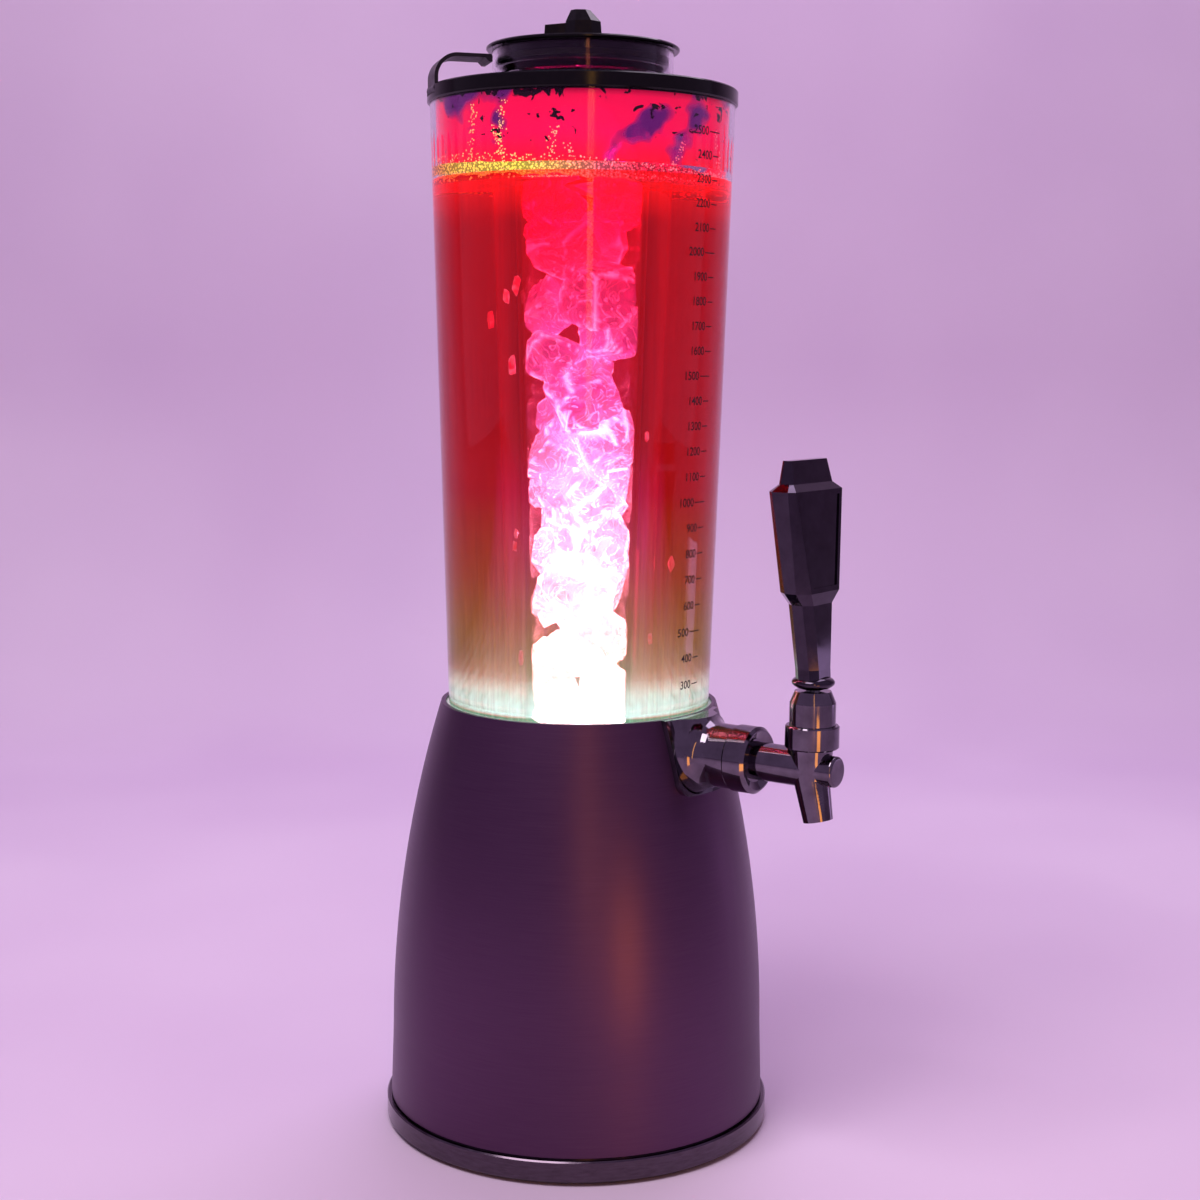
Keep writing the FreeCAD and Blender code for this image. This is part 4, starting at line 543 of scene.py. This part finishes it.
def makeBubbles():
    # tiny spheres on the inner wall: a ragged line along the foam, and chains that climb from it.
    # x = r sin p cos a, y = r sin p sin a, z = r cos p about each centre
    rng = np.random.default_rng(bubbles["seed"])
    turn = rng.uniform(-180, 180, bubbles["rim"])
    rise = rng.uniform(foam["low"], foam["high"] * bubbles["above"], bubbles["rim"])
    for foot, top, height, count in bubbles["chains"]:
        share = rng.uniform(0, 1, count)
        stray = rng.normal(0, bubbles["spread"], count)
        turn = np.concatenate([turn, foot + (top - foot) * share + stray])
        rise = np.concatenate([rise, foam["high"] + height * share])
    away = np.radians(turn - 90 + view["azimuth"])
    lean = -foam["lean"] * (np.cos(away) * rightward[0] + np.sin(away) * rightward[1])
    share = np.clip((rise - foam["low"]) / (foam["high"] - foam["low"]), 0, 1)
    height = drink["level"] + rise + lean * share
    radius = rng.uniform(bubbles["small"], bubbles["large"], len(turn))
    reach = jarInside(height) - radius * bubbles["sunk"]
    centre = np.stack([reach * np.cos(away), reach * np.sin(away), height], axis=-1)
    polar = np.linspace(0, np.pi, bubbles["rings"])[:, None]
    ring = np.linspace(0, 2 * np.pi, bubbles["sides"], endpoint=False)[None, :]
    ball = np.stack([np.sin(polar) * np.cos(ring), np.sin(polar) * np.sin(ring),
                     np.cos(polar) + 0 * ring], axis=-1).reshape(-1, 3)
    points = centre[:, None, :] + radius[:, None, None] * ball[None]
    starts = np.arange(len(turn))[:, None, None] * len(ball)
    faces = gridFaces(bubbles["rings"], bubbles["sides"])[None] + starts
    # the bubbles are pink, with a painted glow that changes across the view like the foam's
    material, tree, surface = newMaterial("wetBubbles", {
        "Base Color": linear(bubbles["base"]), "Roughness": 0.1, "IOR": 1.33, "Emission Strength": 0.9})
    lit = shaded(tree, foamTone(tree, bubbles["paintedGlowTones"]),
                 ranged(tree, noised(tree, bubbles["pattern"], 2.0), *noiseSpan, 0.4, 1.1))
    tree.links.new(lit, surface.inputs["Emission Color"])
    meshPiece("wallBubbles", points.reshape(-1, 3), faces.reshape(-1, 4), material, "base")


# the light in the drink's foot, with its cover and colours from the lamp up
haze = {"shells": 6, "low": 0.1985, "high": 0.318, "wide": 0.026, "clear": 0.0006, "fall": 3.2,
        "rows": 30, "columns": 96, "light": 2.8, "streaks": (330, 330, 8), "least": 0.25,
        "cover": [(0.0, 0.28), (0.06, 0.18), (0.14, 0.065), (0.3, 0.03), (0.64, 0.022), (0.85, 0.008),
                  (1.0, 0.0)],
        "paintedGlowTones": [(0.0, "#d0f4ff"), (0.14, "#b0f0f4"), (0.32, "#acb8f8"), (0.6, "#c060e8"),
                  (1.0, "#c040b8")]}


def makeHazeMaterial():
    # light scattered by the drink just above the lamp, as a thin streaky haze:
    # white at the foot, mauve above
    material, tree, surface = newMaterial("lampHaze", {})
    tree.nodes.remove(surface)
    share = heightShare(tree, haze["low"], haze["high"])
    streaks = noised(tree, 1.0, 3.0, haze["streaks"])
    cover = addNode(tree, "ShaderNodeMath", {"operation": "MULTIPLY"},
                    {0: ramped(tree, share, haze["cover"]),
                     1: ranged(tree, streaks, *noiseSpan, 0.15, 1.5)})
    light = addNode(tree, "ShaderNodeEmission", {"Strength": haze["light"]},
                    {"Color": ramped(tree, share, haze["paintedGlowTones"])})
    clear = addNode(tree, "ShaderNodeBsdfTransparent")
    mixed = addNode(tree, "ShaderNodeMixShader", links={0: cover.outputs[0], 1: clear.outputs[0],
                                                         2: light.outputs[0]})
    tree.links.new(mixed.outputs[0], tree.nodes["Material Output"].inputs["Surface"])
    return material


def makeHaze():
    # nested bells round the tube: radius = tube + clear + wide * size * exp(-fall * share)
    material = makeHazeMaterial()
    points, faces, count = [], [], 0
    for size in np.linspace(haze["least"], 1.0, haze["shells"]):
        share = np.linspace(0, 1, haze["rows"])
        height = haze["low"] + (haze["high"] - haze["low"]) * share
        radius = tubeOutside(height) + haze["clear"] + haze["wide"] * size * np.exp(-share * haze["fall"])
        bell, bellFaces = revolved(np.stack([radius, height], axis=-1), haze["columns"])
        faces.append(bellFaces + count)
        points.append(bell)
        count += len(bell)
    meshPiece("lampHaze", np.concatenate(points), np.concatenate(faces), material, "base")


# the printed scale: volumes in ml, its angle right of the view
scale = {"first": 300, "last": 2500, "step": 100, "major": 500, "angle": 60.5, "long": 0.0082,
         "short": 0.0050, "line": 0.00048, "letter": 0.0037, "space": 0.0009, "proud": 0.00006,
         "bold": 0.012, "reads": 0.98, "highest": 0.462, "samples": 3000, "columns": 9,
         "wear": [(0.35, "#07040f"), (0.75, "#160e22")]}


def scaleHeights():
    # height at which the vessel, less the ice tube, holds each printed volume;
    # the print reads a little under the brimming volume
    heights = np.linspace(floorTop, scale["highest"], scale["samples"])
    area = np.pi * (jarInside(heights) ** 2 - np.where(heights > tubeLow, tubeOutside(heights), 0) ** 2)
    held = np.concatenate([[0], np.cumsum((area[1:] + area[:-1]) / 2 * np.diff(heights))]) * 1e6
    volumes = np.arange(scale["first"], scale["last"] + 1, scale["step"])
    return volumes, np.interp(volumes, held * scale["reads"], heights)


def onJar(flat, angle, height):
    # flat print wrapped on the jar's tapered outside: x runs round it, y up it
    top = height + flat[:, 1]
    radius = jarOutside(top) + scale["proud"]
    turn = math.radians(angle - 90 + view["azimuth"]) + flat[:, 0] / radius
    return np.stack([radius * np.cos(turn), radius * np.sin(turn), top], axis=-1)


def textShape(words):
    # a text's outline filled as a mesh: its points and faces
    curve = bpy.data.curves.new("print", "FONT")
    curve.body = words
    curve.align_x = "RIGHT"
    curve.align_y = "CENTER"
    curve.offset = scale["bold"]
    holder = bpy.data.objects.new("print", curve)
    bpy.context.scene.collection.objects.link(holder)
    bpy.context.view_layer.update()
    mesh = bpy.data.meshes.new_from_object(holder)
    points = np.empty(len(mesh.vertices) * 3)
    mesh.vertices.foreach_get("co", points)
    faces = [list(face.vertices) for face in mesh.polygons]
    bpy.data.objects.remove(holder)
    bpy.data.meshes.remove(mesh)
    points = points.reshape(-1, 3)
    return points * scale["letter"] / np.ptp(points[:, 1]), faces


def makeScale():
    # dark ink with faint wear
    ink, tree, surface = newMaterial("printedInk", {"Roughness": 0.55})
    tone = ramped(tree, noised(tree, 900.0, 2.0), scale["wear"])
    tree.links.new(tone, surface.inputs["Base Color"])
    # a line and its number at each mark, all in one mesh
    points, faces, count = [], [], 0
    lineFaces = gridFaces(2, scale["columns"], closeColumns=False).tolist()
    for volume, height in zip(*scaleHeights()):
        length = scale["long"] if volume % scale["major"] == 0 else scale["short"]
        half = scale["line"] / 2
        run = np.linspace(-length, 0, scale["columns"])
        line = np.concatenate([np.stack([run, 0 * run + side], -1) for side in (-half, half)])
        words, wordFaces = textShape(str(volume))
        words[:, 0] -= length + scale["space"]
        for flat, part in ((line, lineFaces), (words, wordFaces)):
            placed = onJar(flat, scale["angle"], height)
            faces += [[count + corner for corner in face] for face in part]
            points.append(placed)
            count += len(placed)
    mesh = bpy.data.meshes.new("printedScale")
    mesh.from_pydata(np.concatenate(points).tolist(), [], faces)
    mesh.materials.append(ink)
    piece = bpy.data.objects.new("printedScale", mesh)
    bpy.context.scene.collection.objects.link(piece)
    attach(piece, "base")


makeDrink()
makeFoam()
makeFilm()
makeIce()
makeChips()
makeBubbles()
makeHaze()
makeScale()
print("drink, foam, ice, haze and scale made")


def scuffed(tree, surface, low, high, size, stretch=(1, 1, 1), bump=0.0):
    # roughness that wanders between two values in patches of that size in metres
    noise = noised(tree, 1 / size, 5.0, stretch, Roughness=0.6)
    tree.links.new(ranged(tree, noise, *noiseSpan, low, high), surface.inputs["Roughness"])
    if bump:
        bumped(tree, surface, noise, bump, size * 0.1)
    return noise


def mottled(tree, surface, noise, dark, light):
    # colour that wanders with the same noise
    stops = list(zip(noiseSpan, (dark, light)))
    tree.links.new(ramped(tree, noise, stops), surface.inputs["Base Color"])


def makeSatinSteel(dark, light):
    # spun stainless steel with a fine satin lay round the axis; its dark plum colour is painted shade and
    # purple light on the steel's grey
    material, tree, surface = newMaterial("satinSteel", {"Metallic": 1.0})
    noise = scuffed(tree, surface, 0.36, 0.42, 0.02, (1, 1, 60), 0.02)
    mottled(tree, surface, noise, dark, light)
    return material


def makePolishedSteel(dark, light):
    # polished stainless band with light handling marks; its dark mauve grey is painted shade of a dark
    # purple room
    material, tree, surface = newMaterial("polishedSteel", {"Metallic": 1.0})
    noise = scuffed(tree, surface, 0.10, 0.24, 0.006, (1, 1, 6))
    mottled(tree, surface, noise, dark, light)
    return material


def makeChrome(name, dark, light):
    # chrome plate on brass, mirror bright in itself, with a few smears; its colour here is darkened and
    # tinted mauve as painted shade of a dark purple room
    material, tree, surface = newMaterial(name, {"Metallic": 1.0})
    noise = scuffed(tree, surface, 0.03, 0.10, 0.008)
    mottled(tree, surface, noise, dark, light)
    return material


def makeAcrylic(name, tint, shine, low, high):
    # clear moulded acrylic with fine upright scuffs: its tint, and a mauve specular tint that dims what it
    # mirrors, as painted shade of a dark purple room
    material, tree, surface = newMaterial(name, {
        "Base Color": linear(tint), "IOR": 1.49, "Transmission Weight": 1.0,
        "Specular Tint": linear(shine)})
    scuffed(tree, surface, low, high, 0.004, (1, 1, 0.04))
    return material


def makePlastic(name, dark, light, low, high, size=0.003, bump=0.0, specular=0.5):
    # moulded plastic: colour, gloss range, the size of its texture and its shine
    material, tree, surface = newMaterial(name, {"IOR": 1.5, "Specular IOR Level": specular})
    noise = scuffed(tree, surface, low, high, size, bump=bump)
    mottled(tree, surface, noise, dark, light)
    return material


def makeMetal(name, dark, light):
    # plain machined metal
    material, tree, surface = newMaterial(name, {"Metallic": 1.0})
    noise = scuffed(tree, surface, 0.2, 0.35, 0.002)
    mottled(tree, surface, noise, dark, light)
    return material


def makeLens():
    # frosted lens over the lamp, lit
    material, tree, surface = newMaterial("lampLens", {
        "Roughness": 0.5, "IOR": 1.49, "Emission Color": linear("#f6ecff"), "Emission Strength": 4.0})
    scuffed(tree, surface, 0.4, 0.6, 0.002)
    return material


def makeRubber(name, dark, light):
    # matt moulded rubber
    material, tree, surface = newMaterial(name, {"IOR": 1.52})
    noise = scuffed(tree, surface, 0.7, 0.85, 0.0015, bump=0.15)
    mottled(tree, surface, noise, dark, light)
    return material


finishes = {
    # dark plum: painted shade and purple light on the shell's steel
    "satinSteel": (makeSatinSteel("#573a56", "#5d405b"), ["base_shell"]),
    # dark mauve grey: painted shade on the foot ring's steel
    "polishedSteel": (makePolishedSteel("#51454f", "#615562"), ["foot_ring"]),
    # darkened mauve chrome: painted shade of a dark room
    "chrome": (makeChrome("chromePlate", "#605862", "#756c78"),
               ["tap_flange", "coupling_nut", "tap_body", "front_plug", "bonnet"]),
    # the handle is the same chrome, painted darker still as shade
    "handleShadedChrome": (makeChrome("handleShadedChromePlate", "#3c343f", "#48404c"), ["tap_handle"]),
    # mauve specular tint: painted shade on the acrylics' reflections
    "jarAcrylic": (makeAcrylic("jarAcrylic", "#f8f6fb", "#946c94", 0.0, 0.03), ["jar"]),
    "tubeAcrylic": (makeAcrylic("tubeAcrylic", "#f8f6fb", "#946c94", 0.0, 0.04), ["ice_tube"]),
    "glossAbs": (makePlastic("glossAbs", "#050205", "#0b060b", 0.10, 0.2, specular=0.2),
                 ["jar_lid", "cap", "cap_knob"]),
    "satinAbs": (makePlastic("satinAbs", "#100a16", "#1a1220", 0.3, 0.42, bump=0.05, specular=0.3),
                 ["tube_clip"]),
    "darkAbs": (makePlastic("darkAbs", "#161318", "#221e25", 0.5, 0.65, 0.0015, 0.2),
                ["base_plate", "battery_door", "battery_box", "switch_housing", "lamp_housing",
                 "power_button"]),
    "paleAbs": (makePlastic("paleAbs", "#d9d5dc", "#e6e2e8", 0.45, 0.6, 0.002, 0.1), ["jar_cradle"]),
    "board": (makePlastic("boardMask", "#dfe3dd", "#eceee8", 0.4, 0.5), ["lamp_board"]),
    "cellWrap": (makePlastic("cellWrap", "#20303a", "#2b3d48", 0.3, 0.4), ["batteries"]),
    "lens": (makeLens(), ["lamp_lens", "diodes"]),
    "blackRubber": (makeRubber("blackRubber", "#0e0d0f", "#1a181b"),
                    ["rubber_foot", "lamp_lead", "shank_washers", "coupling_seal", "plunger_seal",
                     "plunger_ring", "lid_gasket", "tube_gasket", "cap_seal"]),
    "clearRubber": (makeRubber("clearRubber", "#cfccd2", "#dcd9de"), ["jar_pad"]),
    "steel": (makeMetal("machinedSteel", "#8b8b90", "#a2a2a6"),
              ["plate_screws", "battery_contacts", "door_pin", "button_spring", "plunger",
               "plunger_spring", "lever_pin", "clip_pin"]),
    "brass": (makeMetal("turnedBrass", "#9a7a3c", "#b5924c"), ["tap_shank", "shank_nuts"]),
}


def dressFrame():
    for material, nodes in finishes.values():
        for name in nodes:
            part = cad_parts[name]
            if not part.data.materials:
                part.data.materials.append(material)
            for index in range(len(part.data.materials)):
                part.data.materials[index] = material
            for slot in part.material_slots:
                slot.material = material


dressFrame()
print("frame dressed")


# springs drawn as wire coils in place of the frame's spring nodes
springs = {
    # node: body, joint, travel, fixed end (0 foot, 1 top), wire radius, turns
    "plunger_spring": ("base", "plunger_slide", 0.00275, 1, 0.00045, 4.5),
    "button_spring": ("base", "button_press", 0.0015, 1, 0.0003, 3.5)}


def makeSpring(node, body, joint, travel, fixedEnd, wire, turns, steps=150, sides=12):
    # a round wire along a helix: the centre line is (r cos a, r sin a, z + pitch a / 2 pi)
    low, high = (np.array(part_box(node)[side]) for side in (0, 1))
    middle = (low + high) / 2
    radius = (high[0] - low[0]) / 2 - wire
    run = np.linspace(0, 1, steps)
    turn = 2 * np.pi * turns * run
    outward = np.stack([np.cos(turn), np.sin(turn), 0 * turn], axis=-1)
    centre = np.array([middle[0], middle[1], 0]) + radius * outward
    centre[:, 2] = low[2] + wire + (high[2] - low[2] - 2 * wire) * run
    ring = np.linspace(0, 2 * np.pi, sides, endpoint=False)
    thick = np.minimum(1, np.minimum(run, 1 - run) * steps)[:, None, None] * wire
    points = (centre[:, None, :] + thick * (np.cos(ring)[None, :, None] * outward[:, None, :]
                                            + np.sin(ring)[None, :, None] * np.array([0, 0, 1.0])))
    piece = meshPiece(node + "_coil", points.reshape(-1, 3), gridFaces(steps, sides),
                      finishes["steel"][0], body)
    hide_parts(node)
    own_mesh(piece)


for node, row in springs.items():
    makeSpring(node, *row)
print("springs made")


# the floor and its backdrop
stage = {"dark": "#dcc2e4", "light": "#e8d2ee", "back": 0.75, "front": 1.6, "bend": 0.35,
         "tall": 2.4, "wide": 3.6, "rows": 16}


def makeStage():
    # a floor that bends up into a backdrop behind the tower, seen from the camera:
    # flat, then a quarter circle, then upright
    behind = np.array(around(180, 1, 0))
    arc = np.linspace(0, np.pi / 2, stage["rows"])
    run = np.concatenate([[-stage["front"]], stage["back"] + stage["bend"] * np.sin(arc),
                          [stage["back"] + stage["bend"]]])
    rise = np.concatenate([[0], stage["bend"] * (1 - np.cos(arc)), [stage["tall"]]])
    sideways = np.linspace(-stage["wide"], stage["wide"], 3)
    points = (run[:, None, None] * behind + sideways[None, :, None] * rightward
              + rise[:, None, None] * np.array([0, 0, 1]))
    material, tree, surface = newMaterial("paperSweep", {"Roughness": 0.9})
    mottled(tree, surface, noised(tree, 2.5, 2.0), stage["dark"], stage["light"])
    sweep = meshPiece("sweep", points.reshape(-1, 3), gridFaces(len(run), 3, closeColumns=False),
                      material, None)


lamps = {
    # name: degrees right of the view, distance, height, width, how tall, power, colour
    "key": (-38, 0.85, 1.75, 0.9, 0.9, 20, "#fff6fa"),
    "side": (108, 1.2, 0.03, 0.24, 0.18, 0.22, "#e8c8ff"),
    "strip": (6, 1.15, 0.42, 0.09, 1.0, 1.0, "#ffb850"),
    "gold": (28, 0.5, 0.06, 0.10, 0.14, 0.22, "#ffa820"),
    "sky": (160, 0.7, 1.6, 0.9, 0.9, 10, "#f7e6ff"),
}
lampAim = Vector((0, 0, 0.25))                # half way up the tower
studio = {"seen": "#9a82a8", "light": "#b9a3c0", "level": 0.35}


def makeWorld():
    # a dim even light, seen as a pale wall where a ray meets it straight, or in glass or metal
    world = bpy.data.worlds.new("world")
    bpy.context.scene.world = world
    world.use_nodes = True
    tree = world.node_tree
    dim = tree.nodes["Background"]
    dim.inputs["Color"].default_value = linear(studio["light"])
    dim.inputs["Strength"].default_value = studio["level"]
    pale = addNode(tree, "ShaderNodeBackground", {"Color": linear(studio["seen"]), "Strength": 1.0})
    path = addNode(tree, "ShaderNodeLightPath")
    mirrored = addNode(tree, "ShaderNodeMath", {"operation": "MAXIMUM"},
                       {0: path.outputs["Is Camera Ray"], 1: path.outputs["Is Glossy Ray"]})
    seen = addNode(tree, "ShaderNodeMath", {"operation": "MAXIMUM"},
                   {0: mirrored.outputs[0], 1: path.outputs["Is Transmission Ray"]})
    mixed = addNode(tree, "ShaderNodeMixShader", links={0: seen.outputs[0], 1: dim.outputs[0],
                                                         2: pale.outputs[0]})
    tree.links.new(mixed.outputs[0], tree.nodes["World Output"].inputs["Surface"])


def makeLamps():
    # flat lamps that face the tower
    for name, (angle, distance, height, wide, tall, power, colour) in lamps.items():
        data = bpy.data.lights.new(name, "AREA")
        data.shape = "RECTANGLE"
        data.size = wide
        data.size_y = tall
        data.energy = power
        data.color = linear(colour)[:3]
        lamp = bpy.data.objects.new(name, data)
        lamp.location = around(angle, distance, height)
        aim = lampAim - lamp.location
        lamp.rotation_euler = aim.to_track_quat("-Z", "Y").to_euler()
        bpy.context.scene.collection.objects.link(lamp)


makeStage()
makeLamps()
makeWorld()
scene = bpy.context.scene
scene.view_settings.view_transform = "Standard"
scene.cycles.max_bounces = 24
scene.cycles.transmission_bounces = 20
scene.cycles.transparent_max_bounces = 32
scene.cycles.glossy_bounces = 8
print("stage and lamps set")
